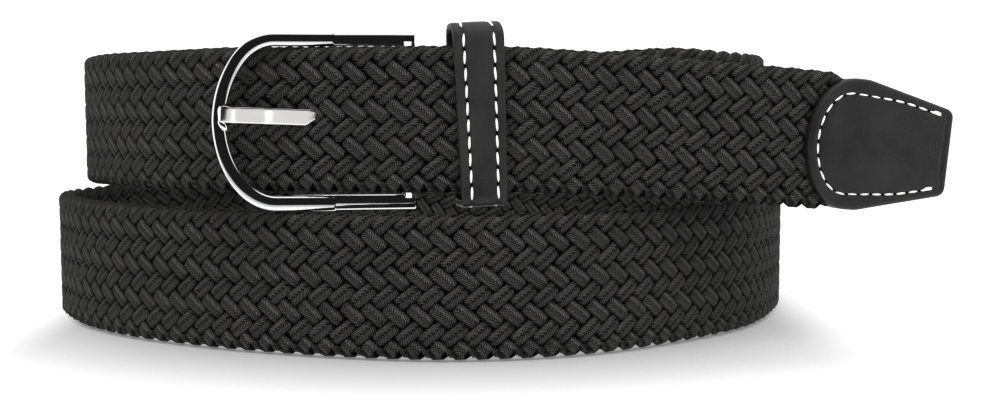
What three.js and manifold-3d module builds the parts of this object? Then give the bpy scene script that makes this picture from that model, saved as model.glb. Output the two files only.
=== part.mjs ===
// Braided stretch belt, fastened and stood on edge as a coil of two turns, one above the other.
// Millimetres, +Z up. The origin is on the floor, under the middle of the belt's box, and the buckle faces -Y.
import * as THREE from 'three';
import { mergeVertices } from 'three/addons/utils/BufferGeometryUtils.js';
import Module from 'manifold-3d';

// Driving dimensions
const strapWidth = 34.8;
const strapThickness = 4.2;
const braidRows = 8;             // rows of floats across the strap
const rowGroove = 0.45;          // depth of the valley between two rows
const strapEdgeFlat = 2.0;       // flat of the strap's long edges, on which the coil stands
const strapSteps = 96;           // sections between the strap's two ends
const endSteps = 8;              // sections within each end
const coilHalfWidth = 105;
const coilHalfDepth = 73;
const turnGap = 3.5;             // lifts the upper turn clear of the lower
const layerGap = 0.4;            // between strap layers that lie together
const seatGap = 0.3;             // between a piece and what holds it
const tipOverhang = 140.9;        // strap past the buckle's bar, to the end of the tip
const leather = 1.3;
const endGather = 6;             // length over which the braid is pressed thin at its two ends
const endThicknessShare = 0.65;
const tipPocketTaper = 0.1;      // share by which the tip's pocket narrows from its mouth to its bottom

const frameHeadroom = 0.9;       // inside of the frame's arms, taller than the strap by this
const frameLength = 47.2;        // arch crown to the ends of the arms
const archDepth = 14.7;
const archRodWidth = 3.3;
const frameRodDepth = 2.8;
const armOverhang = 1.7;         // arm ends past the middle of the bar
const barRadius = 1.5;
const frameStandoff = 4;         // between the arch's crown and the strap, which curves away behind it

const prongWidth = 3.7;
const prongThickness = 1.8;
const prongEyeWall = 1.0;
const prongHook = 0.6;           // how far the point reaches past the arch's middle
const prongPointWidth = 2.4;
const prongSkew = 2;             // degrees that the prong points above the frame's middle
const prongHoleGap = 0.35;

const tabLength = 45;
const tabPocketLength = 17;
const tabClosing = 2.5;          // length over which the tab's layers part at the pocket's mouth
const tabMargin = 0.4;           // tab lower than the strap, each side
const keeperFromBar = 17.3;
const keeperWidth = 10.6;
const keeperLeather = 1.6;
const keeperHeadroom = 3.6;
const keeperFootroom = 0.9;
const keeperCorner = 4.2;        // its two upper corners
const keeperFoot = 2.6;          // its two lower corners
const keeperLean = 0.045;        // shift along the strap for each mm of height
const keeperSkew = 0.2;          // the same for each mm of depth

const tipLength = 40.3;
const tipBaseHeight = 32.7;
const tipEndHeight = 22.4;
const tipArch = 11.5;            // depth of the rounded edge that laps over the braid
const tipStraight = 3.3;
const tipNarrowing = 2;          // the braid keeps its width to this far past the mouth
const tipPocket = 17;            // how deep the braid goes into the tip
const tipBevel = 0.5;
const tipEndCorner = 1;

// The strap's middle line, from the tab inside the front run round two turns to the tip. Across and deep
// are shares of the coil's half width and half depth, and rise is a share of the step between the turns.
const upperRightTurn = [
  { across: 0.595, deep: -0.745, rise: 1.02 },
  { across: 0.710, deep: -0.640, rise: 1.01 },
  { across: 0.805, deep: -0.493, rise: 1.00 },
  { across: 0.860, deep: -0.274, rise: 1.00 },
  { across: 0.874, deep: -0.027, rise: 1.00 },
  { across: 0.852, deep: 0.247, rise: 1.00 },
  { across: 0.790, deep: 0.507, rise: 1.00 },
  { across: 0.681, deep: 0.732, rise: 1.00 },
];
const backDescent = [
  { across: 0.524, deep: 0.897, rise: 0.96 },
  { across: 0.333, deep: 0.990, rise: 0.86 },
  { across: 0.114, deep: 1.030, rise: 0.70 },
  { across: -0.114, deep: 1.030, rise: 0.51 },
  { across: -0.343, deep: 0.982, rise: 0.33 },
  { across: -0.562, deep: 0.866, rise: 0.18 },
  { across: -0.752, deep: 0.690, rise: 0.08 },
  { across: -0.900, deep: 0.468, rise: 0.02 },
];
const lowerFrontTurn = [
  { across: -0.988, deep: 0.250, rise: 0 },
  { across: -1.010, deep: 0.050, rise: 0 },
  { across: -0.975, deep: -0.130, rise: 0 },
  { across: -0.925, deep: -0.262, rise: 0 },
  { across: -0.858, deep: -0.403, rise: 0 },
  { across: -0.710, deep: -0.602, rise: 0 },
  { across: -0.556, deep: -0.737, rise: 0 },
  { across: -0.364, deep: -0.862, rise: 0 },
  { across: -0.151, deep: -0.956, rise: 0 },
  { across: 0.026, deep: -0.998, rise: 0 },
  { across: 0.210, deep: -0.984, rise: 0 },
  { across: 0.410, deep: -0.896, rise: 0 },
  { across: 0.633, deep: -0.684, rise: 0 },
  { across: 0.815, deep: -0.425, rise: 0 },
  { across: 0.940, deep: -0.060, rise: 0 },
  { across: 0.982, deep: 0.190, rise: 0 },
  { across: 0.965, deep: 0.370, rise: 0 },
  { across: 0.898, deep: 0.530, rise: 0 },
  { across: 0.790, deep: 0.645, rise: 0 },
];
const backAscent = [
  { across: 0.650, deep: 0.732, rise: 0.00 },
  { across: 0.468, deep: 0.815, rise: 0.04 },
  { across: 0.250, deep: 0.885, rise: 0.14 },
  { across: 0.029, deep: 0.918, rise: 0.29 },
  { across: -0.190, deep: 0.905, rise: 0.48 },
  { across: -0.400, deep: 0.842, rise: 0.67 },
  { across: -0.581, deep: 0.735, rise: 0.82 },
  { across: -0.733, deep: 0.584, rise: 0.93 },
  { across: -0.840, deep: 0.385, rise: 0.98 },
];
const upperFrontRun = [
  { across: -0.893, deep: 0.140, rise: 0.99 },
  { across: -0.897, deep: -0.082, rise: 0.99 },
  { across: -0.862, deep: -0.274, rise: 0.99 },
  { across: -0.790, deep: -0.440, rise: 1.00 },
  { across: -0.698, deep: -0.596, rise: 1.00 },
  { across: -0.610, deep: -0.707, rise: 1.00 },
  { across: -0.505, deep: -0.805, rise: 1.005 },
  { across: -0.419, deep: -0.862, rise: 1.01 },
  { across: -0.286, deep: -0.902, rise: 1.01 },
  { across: -0.171, deep: -0.933, rise: 1.01 },
  { across: -0.057, deep: -0.962, rise: 1.01 },
  { across: 0.057, deep: -0.978, rise: 1.01 },
  { across: 0.190, deep: -0.967, rise: 1.01 },
  { across: 0.429, deep: -0.896, rise: 0.98 },
  { across: 0.667, deep: -0.810, rise: 0.935 },
  { across: 0.933, deep: -0.703, rise: 0.88 },
  { across: 1.284, deep: -0.562, rise: 0.777 },
];

// Rod width as a share of its width at the arch's crown, by the share of the way from an arm's end
const rodWidths = [
  { reach: 0.00, share: 0.84 },
  { reach: 0.40, share: 0.88 },
  { reach: 0.43, share: 0.94 },
  { reach: 0.68, share: 0.95 },
  { reach: 1.00, share: 1.00 },
];

// The prong's point, from its front face round to its back: shares of the hook's reach and of the thickness
const prongPoint = [
  { reach: 0.80, front: 0.85 },
  { reach: 1.00, front: 0.30 },
  { reach: 0.95, front: -0.15 },
  { reach: 0.70, front: 0.00 },
];
const prongTaper = 0.6;          // of the hook's reach, where the point starts to narrow

// Inner face of the tab's back layer: along is a share of the way from the bar to the pocket's mouth
const tabBackLayer = [
  { along: 0.00, spread: 1.00 },
  { along: 0.20, spread: 0.30 },
  { along: 0.36, spread: 0.00 },
];

const up = new THREE.Vector3(0, 0, 1);
const turnStep = strapWidth + turnGap;
const frameInsideHeight = strapWidth + frameHeadroom;
const tabFrontFace = strapThickness / 2 + layerGap;
const barInset = tabFrontFace + leather + seatGap + barRadius;
const pressedThickness = strapThickness * endThicknessShare;
const pocketGap = pressedThickness + 2 * seatGap;

const manifold = await Module();
manifold.setup();

const braid = new THREE.MeshStandardMaterial({ color: 0x3f3f3f, roughness: 0.85, metalness: 0 });
const chrome = new THREE.MeshStandardMaterial({ color: 0xd8d8da, roughness: 0.08, metalness: 1 });
const blackLeather = new THREE.MeshStandardMaterial({ color: 0x2b2b2c, roughness: 0.55, metalness: 0 });

function stationPoint({ across, deep, rise }) {
  return new THREE.Vector3(across * coilHalfWidth, deep * coilHalfDepth, strapWidth / 2 + rise * turnStep);
}

function smoothLine(points) {
  const line = new THREE.CatmullRomCurve3(points, false, 'centripetal');
  line.arcLengthDivisions = 1500;
  return line;
}

// Place on a line at a distance along it: inward lies across the strap's face, towards the coil's inside.
function placeOn(line, distance) {
  const share = THREE.MathUtils.clamp(distance / line.getLength(), 0, 1);
  const point = line.getPointAt(share);
  point.z = Math.max(point.z, strapWidth / 2);
  const along = line.getTangentAt(share);
  const inward = new THREE.Vector3().crossVectors(up, along).normalize();
  const rise = new THREE.Vector3().crossVectors(along, inward);
  return { point, along, inward, rise };
}

function fromPlace(place, inward, rise) {
  return place.point.clone().addScaledVector(place.inward, inward).addScaledVector(place.rise, rise);
}

// Moves every vertex of a geometry to where the function says.
function reshape(geometry, move) {
  const position = geometry.attributes.position;
  for (let i = 0; i < position.count; i += 1) {
    const moved = move(new THREE.Vector3().fromBufferAttribute(position, i));
    position.setXYZ(i, moved.x, moved.y, moved.z);
  }
  return geometry;
}

function mix(rows, key, value, at) {
  const last = rows[rows.length - 1];
  const next = rows.find((row) => row[key] >= at) ?? last;
  const before = rows[Math.max(0, rows.indexOf(next) - 1)];
  const span = next[key] - before[key] || 1;
  return THREE.MathUtils.lerp(before[value], next[value], THREE.MathUtils.clamp((at - before[key]) / span, 0, 1));
}

function toSolid(geometry, matrix = new THREE.Matrix4()) {
  const bare = geometry.clone().applyMatrix4(matrix);
  bare.deleteAttribute('normal');
  bare.deleteAttribute('uv');
  const merged = mergeVertices(bare, 1e-4);
  return new manifold.Manifold(new manifold.Mesh({
    numProp: 3,
    vertProperties: new Float32Array(merged.attributes.position.array),
    triVerts: new Uint32Array(merged.index.array),
  }));
}

function toGeometry(solid) {
  const mesh = solid.getMesh();
  const geometry = new THREE.BufferGeometry();
  geometry.setAttribute('position', new THREE.BufferAttribute(new Float32Array(mesh.vertProperties), 3));
  geometry.setIndex(new THREE.BufferAttribute(new Uint32Array(mesh.triVerts), 1));
  geometry.computeVertexNormals();
  return geometry;
}

function piece(name, geometry, material) {
  const mesh = new THREE.Mesh(geometry, material);
  mesh.name = name;
  return mesh;
}

// The front run alone fixes where the buckle, the tab and the keeper sit on the strap.
const frontLine = smoothLine(upperFrontRun.map(stationPoint));
const barDistance = frontLine.getLength() - tipOverhang;
const frontPlace = (fromBar) => placeOn(frontLine, barDistance + fromBar);

const pocketStart = tabLength - tabPocketLength;
const braidInset = tabFrontFace + leather + pocketGap / 2;
const tabStations = [pocketStart + 4 * seatGap, (pocketStart + tabLength) / 2, tabLength]
  .map((fromBar) => fromPlace(frontPlace(fromBar), braidInset, 0));
const strapLine = smoothLine([
  ...tabStations,
  ...[upperRightTurn, backDescent, lowerFrontTurn, backAscent, upperFrontRun].flat().map(stationPoint),
]);
const tipMouth = strapLine.getLength() - tipLength;
const strapEnd = tipMouth + tipPocket;

// How thin the braid is pressed at a distance along the strap, in the tab's pocket and in the tip's.
function pressedShare(distance) {
  const fromTab = THREE.MathUtils.smoothstep(distance, tabPocketLength, tabPocketLength + endGather);
  const toTip = THREE.MathUtils.smoothstep(tipMouth - distance, 0, endGather);
  return THREE.MathUtils.lerp(endThicknessShare, 1, Math.min(fromTab, toTip));
}

// How narrow it is drawn at the tip, so that it goes into the lower and tapering pocket.
function drawnShare(distance) {
  const atMouth = (tipBaseHeight - 2 * leather) / strapWidth;
  const into = THREE.MathUtils.clamp((distance - tipMouth - tipArch + tipStraight) / (tipPocket - tipArch), 0, 1);
  const before = THREE.MathUtils.smoothstep(distance - tipMouth, tipNarrowing, tipArch - tipStraight);
  return THREE.MathUtils.lerp(1, atMouth, before) - into * tipPocketTaper;
}

function strapSection() {
  const rowHeight = strapWidth / braidRows;
  const side = [];
  for (let row = 0; row < braidRows; row += 1) {
    const middle = -strapWidth / 2 + (row + 0.5) * rowHeight;
    side.push({ out: strapThickness / 2, at: middle });
    if (row < braidRows - 1) side.push({ out: strapThickness / 2 - rowGroove, at: middle + rowHeight / 2 });
  }
  const shape = new THREE.Shape();
  shape.moveTo(-strapEdgeFlat / 2, -strapWidth / 2);
  shape.lineTo(strapEdgeFlat / 2, -strapWidth / 2);
  side.forEach(({ out, at }) => shape.lineTo(out, at));
  shape.lineTo(strapEdgeFlat / 2, strapWidth / 2);
  shape.lineTo(-strapEdgeFlat / 2, strapWidth / 2);
  side.reverse().forEach(({ out, at }) => shape.lineTo(-out, at));
  shape.closePath();
  return shape;
}

// Distance along the strap of a section, counted in sections: they lie closer together in its two ends.
function sectionDistance(section) {
  const startZone = tabPocketLength + endGather;
  const endZone = tipMouth - endGather;
  if (section <= endSteps) return (section / endSteps) * startZone;
  const middle = section - endSteps;
  if (middle <= strapSteps) return THREE.MathUtils.lerp(startZone, endZone, middle / strapSteps);
  return THREE.MathUtils.lerp(endZone, strapEnd, (middle - strapSteps) / endSteps);
}

function alongStrap(geometry, distanceOf, grow = 0) {
  return reshape(geometry, (p) => {
    const distance = distanceOf(p.z);
    const thickness = pressedShare(distance);
    const width = drawnShare(distance);
    const inward = p.x * thickness + Math.sign(p.x) * grow;
    return fromPlace(placeOn(strapLine, distance), inward, p.y * width + Math.sign(p.y) * grow);
  });
}

// Side view of the prong, from above: the arch's crown is at -x and the eye goes round the bar.
const archReach = frameLength - armOverhang - archRodWidth / 2;
const prongEye = barRadius + seatGap + prongEyeWall;
const prongBack = frameRodDepth / 2 + seatGap;

function prongProfile() {
  const shape = new THREE.Shape();
  shape.moveTo(0, -prongEye);
  shape.lineTo(-archReach, -prongBack - prongThickness);
  prongPoint.forEach(({ reach, front }) => {
    shape.lineTo(-archReach - prongHook * reach, -prongBack - prongThickness * front);
  });
  shape.lineTo(-archReach, -prongBack);
  const eyeBack = -prongEye + prongThickness;
  const eyeAcross = Math.sqrt(prongEye ** 2 - eyeBack ** 2);
  shape.lineTo(-eyeAcross, eyeBack);
  shape.absarc(0, 0, prongEye, Math.atan2(eyeBack, -eyeAcross), -Math.PI / 2, true);
  shape.holes.push(new THREE.Path().absarc(0, 0, barRadius + seatGap, 0, 2 * Math.PI, false));
  return shape;
}

function upright(geometry, height) {
  return geometry.translate(0, 0, -height / 2);
}

function buckleProng() {
  const side = new THREE.ExtrudeGeometry(prongProfile(), { depth: prongWidth, bevelEnabled: false, curveSegments: 8 });
  const half = prongWidth / 2;
  const pointHalf = prongPointWidth / 2;
  const tip = -archReach - prongHook - seatGap;
  const shoulder = tip + prongHook * prongTaper;
  const eye = prongEye + seatGap;
  const front = new THREE.Shape([
    [eye, half], [shoulder, half], [tip, pointHalf], [tip, -pointHalf], [shoulder, -half], [eye, -half],
  ].map(([x, y]) => new THREE.Vector2(x, y)));
  const depth = 2 * prongEye + prongBack + prongThickness;
  const face = new THREE.ExtrudeGeometry(front, { depth: 2 * depth, bevelEnabled: false });
  const turned = upright(face, 2 * depth).rotateX(Math.PI / 2);
  return toGeometry(toSolid(upright(side, prongWidth)).intersect(toSolid(turned)));
}

// Frame: a rod from one arm's end round the arch to the other arm's end, and a bar between the arms.
function buckleFrame() {
  const armHeight = frameInsideHeight / 2;
  const innerDepth = archDepth - archRodWidth;
  const armEnd = archReach - archDepth + archRodWidth / 2;
  const outline = new THREE.CurvePath();
  const bend = new THREE.EllipseCurve(-armEnd, 0, innerDepth, armHeight, Math.PI / 2, 3 * Math.PI / 2);
  outline.add(new THREE.LineCurve(new THREE.Vector2(armOverhang, armHeight), new THREE.Vector2(-armEnd, armHeight)));
  outline.add(bend);
  outline.add(new THREE.LineCurve(new THREE.Vector2(-armEnd, -armHeight), new THREE.Vector2(armOverhang, -armHeight)));
  const section = new THREE.Shape().absellipse(0, 0, archRodWidth / 2, frameRodDepth / 2, 0, 2 * Math.PI);
  const rod = new THREE.ExtrudeGeometry(section, { depth: 1, steps: 60, bevelEnabled: false, curveSegments: 5 });
  reshape(rod, (p) => {
    const at = outline.getPointAt(p.z);
    const tangent = outline.getTangentAt(p.z);
    const share = mix(rodWidths, 'reach', 'share', 1 - Math.abs(2 * p.z - 1));
    const out = new THREE.Vector2(tangent.y, -tangent.x).multiplyScalar((archRodWidth / 2 - p.x) * share);
    return new THREE.Vector3(at.x + out.x, -p.y, at.y + out.y);
  });
  const bar = new THREE.CylinderGeometry(barRadius, barRadius, 2 * armHeight + barRadius, 12).rotateX(Math.PI / 2);
  return toGeometry(toSolid(rod).add(toSolid(bar)));
}

// Leather folded round the bar, seen from above: its two layers hold the start of the braid.
function buckleTab(slot) {
  const inside = barRadius + seatGap;
  const backAt = (along, face) => {
    if (along >= pocketStart) return { along, inward: tabFrontFace + leather + pocketGap + face };
    const spread = mix(tabBackLayer, 'along', 'spread', along / pocketStart);
    const gap = seatGap + spread * (2 * inside - seatGap);
    return { along, inward: tabFrontFace + leather + gap + face };
  };
  const spaced = (from, to, steps) => Array.from({ length: steps + 1 }, (_, i) => from + (i / steps) * (to - from));
  const alongs = [...spaced(0, pocketStart - tabClosing, 8), ...spaced(pocketStart, tabLength, 5)];
  const fold = (radius, turn) => {
    const angle = Math.PI / 2 + turn * Math.PI;
    return { along: radius * Math.cos(angle), inward: barInset - radius * Math.sin(angle) };
  };
  const turns = [0.2, 0.4, 0.6, 0.8];
  const outer = inside + leather;
  const outline = [
    ...alongs.map((along) => ({ along, inward: tabFrontFace })).reverse(),
    ...turns.map((turn) => fold(outer, turn)),
    ...alongs.map((along) => backAt(along, leather)),
    ...alongs.map((along) => backAt(along, 0)).reverse(),
    ...turns.map((turn) => fold(inside, turn)).reverse(),
    ...alongs.map((along) => ({ along, inward: tabFrontFace + leather })),
  ];
  const plan = new THREE.Shape(outline.map(({ along, inward }) => {
    const place = frontPlace(Math.max(along, 0));
    const point = fromPlace(place, inward, 0).addScaledVector(place.along, Math.min(along, 0));
    return new THREE.Vector2(point.x, point.y);
  }));
  const height = strapWidth - 2 * tabMargin;
  const body = new THREE.ExtrudeGeometry(plan, { depth: height, bevelEnabled: false });
  body.translate(0, 0, frontPlace(0).point.z - height / 2);
  return toGeometry(toSolid(body).subtract(slot));
}

function roundedRing(left, right, low, high, corner, foot, PathClass) {
  const ring = new PathClass();
  ring.moveTo(left + foot, low);
  ring.lineTo(right - foot, low);
  ring.absarc(right - foot, low + foot, foot, -Math.PI / 2, 0, false);
  ring.lineTo(right, high - corner);
  ring.absarc(right - corner, high - corner, corner, 0, Math.PI / 2, false);
  ring.lineTo(left + corner, high);
  ring.absarc(left + corner, high - corner, corner, Math.PI / 2, Math.PI, false);
  ring.lineTo(left, low + foot);
  ring.absarc(left + foot, low + foot, foot, Math.PI, 3 * Math.PI / 2, false);
  return ring;
}

function keeperLoop() {
  const front = -strapThickness / 2 - seatGap;
  const back = tabFrontFace + 2 * leather + 2 * seatGap;
  const low = -strapWidth / 2 - keeperFootroom;
  const high = strapWidth / 2 + keeperHeadroom;
  const wall = keeperLeather;
  const shape = roundedRing(front - wall, back + wall, low - wall, high + wall, keeperCorner, keeperFoot, THREE.Shape);
  shape.holes.push(roundedRing(front, back, low, high, keeperCorner - wall, keeperFoot - wall, THREE.Path));
  const ring = new THREE.ExtrudeGeometry(shape, { depth: keeperWidth, steps: 2, bevelEnabled: false, curveSegments: 5 });
  return reshape(ring, (p) => {
    const along = keeperFromBar + p.z - keeperWidth / 2 - keeperSkew * p.x - keeperLean * p.y;
    return fromPlace(frontPlace(along), p.x, p.y);
  });
}

// Tip: seen from the front, its rounded edge laps over the braid and it tapers to a square end.
function tipCap() {
  const half = tipBaseHeight / 2;
  const endHalf = tipEndHeight / 2;
  const shape = new THREE.Shape();
  shape.absellipse(tipArch, 0, tipArch, half, Math.PI / 2, 3 * Math.PI / 2, false);
  shape.lineTo(tipArch + tipStraight, -half);
  shape.lineTo(tipLength - tipEndCorner, -endHalf);
  shape.lineTo(tipLength, -endHalf + tipEndCorner);
  shape.lineTo(tipLength, endHalf - tipEndCorner);
  shape.lineTo(tipLength - tipEndCorner, endHalf);
  shape.lineTo(tipArch + tipStraight, half);
  shape.closePath();
  const thickness = pocketGap + 2 * leather;
  const bevel = { bevelEnabled: true, bevelThickness: tipBevel, bevelSize: tipBevel, bevelOffset: -tipBevel };
  const body = new THREE.ExtrudeGeometry(shape, {
    depth: thickness - 2 * tipBevel, ...bevel, bevelSegments: 1, curveSegments: 12,
  });
  reshape(body, (p) => {
    const inward = -(p.z - thickness / 2 + tipBevel);
    return fromPlace(placeOn(strapLine, tipMouth + p.x), inward, p.y);
  });
  const before = seatGap;          // the cutter starts outside the mouth
  const pocketLength = before + tipPocket + seatGap;
  const pocket = new THREE.BoxGeometry(strapThickness, strapWidth, pocketLength, 1, 1, 12);
  pocket.translate(0, 0, pocketLength / 2);
  alongStrap(pocket, (z) => tipMouth - before + z, seatGap);
  return toGeometry(toSolid(body).subtract(toSolid(pocket)));
}

// The buckle stands on its bar, behind the front run, and its arch stands off the strap's face.
const buckle = new THREE.Group();
const barMiddle = fromPlace(frontPlace(0), barInset, 0);
const crownInset = -strapThickness / 2 - frameStandoff - frameRodDepth / 2;
const crown = fromPlace(frontPlace(-archReach), crownInset, 0);
buckle.position.copy(barMiddle);
buckle.rotation.z = Math.atan2(barMiddle.y - crown.y, barMiddle.x - crown.x);
const prong = piece('buckle_prong', buckleProng(), chrome);
prong.rotation.y = THREE.MathUtils.degToRad(prongSkew);
buckle.add(piece('buckle_frame', buckleFrame(), chrome));
buckle.add(prong);
buckle.updateMatrixWorld(true);

// The prong's way through the strap, and the slot for its eye in the fold of the tab.
const cutHeight = prongWidth + 2 * prongHoleGap;
const prongWay = new THREE.Shape([
  [0, -prongEye - prongHoleGap], [0, prongThickness - prongEye + prongHoleGap],
  [-archReach, prongHoleGap - prongBack], [-archReach, -prongBack - prongThickness - prongHoleGap],
].map(([x, y]) => new THREE.Vector2(x, y)));
const prongHole = toSolid(
  upright(new THREE.ExtrudeGeometry(prongWay, { depth: cutHeight, bevelEnabled: false }), cutHeight),
  prong.matrixWorld,
);
const slotLength = 2 * prongEye + 4 * prongHoleGap;
const eyeSlot = toSolid(
  new THREE.BoxGeometry(slotLength, 3 * prongEye, cutHeight).translate(-prongHoleGap, 0, 0),
  prong.matrixWorld,
);

const sections = strapSteps + 2 * endSteps;
const strapBody = new THREE.ExtrudeGeometry(strapSection(), { depth: sections, steps: sections, bevelEnabled: false });
const strap = toSolid(alongStrap(strapBody, sectionDistance)).subtract(prongHole);

const belt = new THREE.Group();
belt.add(piece('braided_strap', toGeometry(strap), braid));
belt.add(buckle);
belt.add(piece('buckle_tab', buckleTab(eyeSlot), blackLeather));
belt.add(piece('keeper_loop', keeperLoop(), blackLeather));
belt.add(piece('tip_cap', tipCap(), blackLeather));

const box = new THREE.Box3().setFromObject(belt, true);
const middle = box.getCenter(new THREE.Vector3());
belt.position.set(-middle.x, -middle.y, -box.min.z);

export default belt;
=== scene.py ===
import math

import bmesh
import bpy
import numpy as np
from mathutils import Matrix, Vector


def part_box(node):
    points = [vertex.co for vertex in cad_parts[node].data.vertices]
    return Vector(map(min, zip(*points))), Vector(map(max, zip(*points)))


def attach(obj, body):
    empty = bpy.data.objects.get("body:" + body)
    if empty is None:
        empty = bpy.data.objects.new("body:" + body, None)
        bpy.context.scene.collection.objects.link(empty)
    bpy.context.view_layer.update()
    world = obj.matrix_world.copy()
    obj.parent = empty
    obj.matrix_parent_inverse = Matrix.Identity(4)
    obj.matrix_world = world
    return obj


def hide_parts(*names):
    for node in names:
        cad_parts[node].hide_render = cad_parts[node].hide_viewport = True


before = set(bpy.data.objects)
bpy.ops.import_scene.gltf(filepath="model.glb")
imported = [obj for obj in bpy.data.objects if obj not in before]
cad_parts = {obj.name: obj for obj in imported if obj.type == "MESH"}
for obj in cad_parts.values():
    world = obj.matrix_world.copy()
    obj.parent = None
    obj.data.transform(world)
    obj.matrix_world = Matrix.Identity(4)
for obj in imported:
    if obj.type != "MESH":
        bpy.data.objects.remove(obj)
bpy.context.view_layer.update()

mm = 0.001
up = np.array((0.0, 0.0, 1.0))
print("frame loaded:", sorted(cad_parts))

# The strap: its middle line runs from the tab, inside the front run, round two turns to the tip.
belt = {
    "width": 34.8 * mm,
    "thickness": 4.2 * mm,
    "halfWidth": 105 * mm,      # of the coil, along X
    "halfDepth": 73 * mm,
    "turnGap": 3.5 * mm,
    "layerGap": 0.4 * mm,
    "seatGap": 0.3 * mm,
    "leather": 1.3 * mm,
    "tipOverhang": 140.9 * mm,  # strap past the buckle's bar
    "pressed": 0.65,            # thickness share inside the tab and the tip
    "gather": 6 * mm,
}

# across, deep, rise: shares of the half width, the half depth and the step between the turns
roundTheCoil = [
    (0.595, -0.745, 1.02), (0.710, -0.640, 1.01), (0.805, -0.493, 1.00), (0.860, -0.274, 1.00),
    (0.874, -0.027, 1.00), (0.852, 0.247, 1.00), (0.790, 0.507, 1.00), (0.681, 0.732, 1.00),
    (0.524, 0.897, 0.96), (0.333, 0.990, 0.86), (0.114, 1.030, 0.70), (-0.114, 1.030, 0.51),
    (-0.343, 0.982, 0.33), (-0.562, 0.866, 0.18), (-0.752, 0.690, 0.08), (-0.900, 0.468, 0.02),
    (-0.988, 0.250, 0), (-1.010, 0.050, 0), (-0.975, -0.130, 0), (-0.925, -0.262, 0),
    (-0.858, -0.403, 0), (-0.710, -0.602, 0), (-0.556, -0.737, 0), (-0.364, -0.862, 0),
    (-0.151, -0.956, 0), (0.026, -0.998, 0), (0.210, -0.984, 0), (0.410, -0.896, 0),
    (0.633, -0.684, 0), (0.815, -0.425, 0), (0.940, -0.060, 0), (0.982, 0.190, 0),
    (0.965, 0.370, 0), (0.898, 0.530, 0), (0.790, 0.645, 0), (0.650, 0.732, 0.00),
    (0.468, 0.815, 0.04), (0.250, 0.885, 0.14), (0.029, 0.918, 0.29), (-0.190, 0.905, 0.48),
    (-0.400, 0.842, 0.67), (-0.581, 0.735, 0.82), (-0.733, 0.584, 0.93), (-0.840, 0.385, 0.98),
]
frontRun = [
    (-0.893, 0.140, 0.99), (-0.897, -0.082, 0.99), (-0.862, -0.274, 0.99), (-0.790, -0.440, 1.00),
    (-0.698, -0.596, 1.00), (-0.610, -0.707, 1.00), (-0.505, -0.805, 1.005), (-0.419, -0.862, 1.01),
    (-0.286, -0.902, 1.01), (-0.171, -0.933, 1.01), (-0.057, -0.962, 1.01), (0.057, -0.978, 1.01),
    (0.190, -0.967, 1.01), (0.429, -0.896, 0.98), (0.667, -0.810, 0.935), (0.933, -0.703, 0.88),
    (1.284, -0.562, 0.777),
]
turnStep = belt["width"] + belt["turnGap"]


def stationPoint(row):
    across, deep, rise = row
    height = belt["width"] / 2 + rise * turnStep
    return np.array((across * belt["halfWidth"], deep * belt["halfDepth"], height))


def unitRows(vectors):
    return vectors / np.linalg.norm(vectors, axis=-1, keepdims=True)


def lengthsAlong(points):
    return np.concatenate(([0.0], np.cumsum(np.linalg.norm(np.diff(points, axis=0), axis=1))))


# Rows that stand at the places in where, read off at other places between them
def rowsAt(places, where, rows):
    return np.stack([np.interp(places, where, column) for column in rows.T], -1)


# A table's other columns, read off at values of its first column
def tableAt(table, values):
    first, *others = np.array(table, float).T
    return [np.interp(values, first, column) for column in others]


# A smooth line through the stations, sampled finely, with the distance along it of each sample
def smoothLine(points, perSpan=48):
    points = [2 * points[0] - points[1], *points, 2 * points[-1] - points[-2]]
    samples = []
    for p0, p1, p2, p3 in zip(points, points[1:], points[2:], points[3:]):
        d0, d1, d2 = (math.sqrt(np.linalg.norm(b - a)) for a, b in ((p0, p1), (p1, p2), (p2, p3)))
        m1 = ((p1 - p0) / d0 - (p2 - p0) / (d0 + d1) + (p2 - p1) / d1) * d1
        m2 = ((p2 - p1) / d1 - (p3 - p1) / (d1 + d2) + (p3 - p2) / d2) * d1
        for t in np.arange(perSpan) / perSpan:
            h = (2 * t**3 - 3 * t**2 + 1, t**3 - 2 * t**2 + t, 3 * t**2 - 2 * t**3, t**3 - t**2)
            samples.append(h[0] * p1 + h[1] * m1 + h[2] * p2 + h[3] * m2)
    samples = np.array([*samples, points[-2]])
    samples[:, 2] = np.maximum(samples[:, 2], belt["width"] / 2)
    distance = lengthsAlong(samples)
    tangent = unitRows(np.gradient(samples, distance, axis=0))
    return {"distance": distance, "point": samples, "tangent": tangent, "length": distance[-1]}


# World points for distances along a line, with offsets inward (to the coil's inside) and upward
def onLine(line, distance, inward, rise):
    distance = np.asarray(distance, float)
    inside = np.clip(distance, 0, line["length"])
    point = rowsAt(inside, line["distance"], line["point"])
    along = unitRows(rowsAt(inside, line["distance"], line["tangent"]))
    acrossDir = unitRows(np.cross(up, along))
    riseDir = np.cross(along, acrossDir)
    past, inward, rise = (np.asarray(value, float)[..., None] for value in (distance - inside, inward, rise))
    return point + past * along + inward * acrossDir + rise * riseDir


def smoothStep(x, low, high):
    t = np.clip((np.asarray(x, float) - low) / (high - low), 0, 1)
    return t * t * (3 - 2 * t)


frontLine = smoothLine([stationPoint(row) for row in frontRun])
barDistance = frontLine["length"] - belt["tipOverhang"]
tabSize = {"length": 45 * mm, "pocket": 17 * mm, "closing": 2.5 * mm, "margin": 0.4 * mm}
frontFace = belt["thickness"] / 2 + belt["layerGap"]       # inward distance of the tab's front face
pocketGap = belt["thickness"] * belt["pressed"] + 2 * belt["seatGap"]
pocketStart = tabSize["length"] - tabSize["pocket"]
tabInset = frontFace + belt["leather"] + pocketGap / 2
tabStations = [
    onLine(frontLine, barDistance + fromBar, tabInset, 0.0) for fromBar in (
        pocketStart + 4 * belt["seatGap"], (pocketStart + tabSize["length"]) / 2, tabSize["length"],
    )
]
strapLine = smoothLine([*tabStations, *[stationPoint(row) for row in (*roundTheCoil, *frontRun)]])

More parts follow.
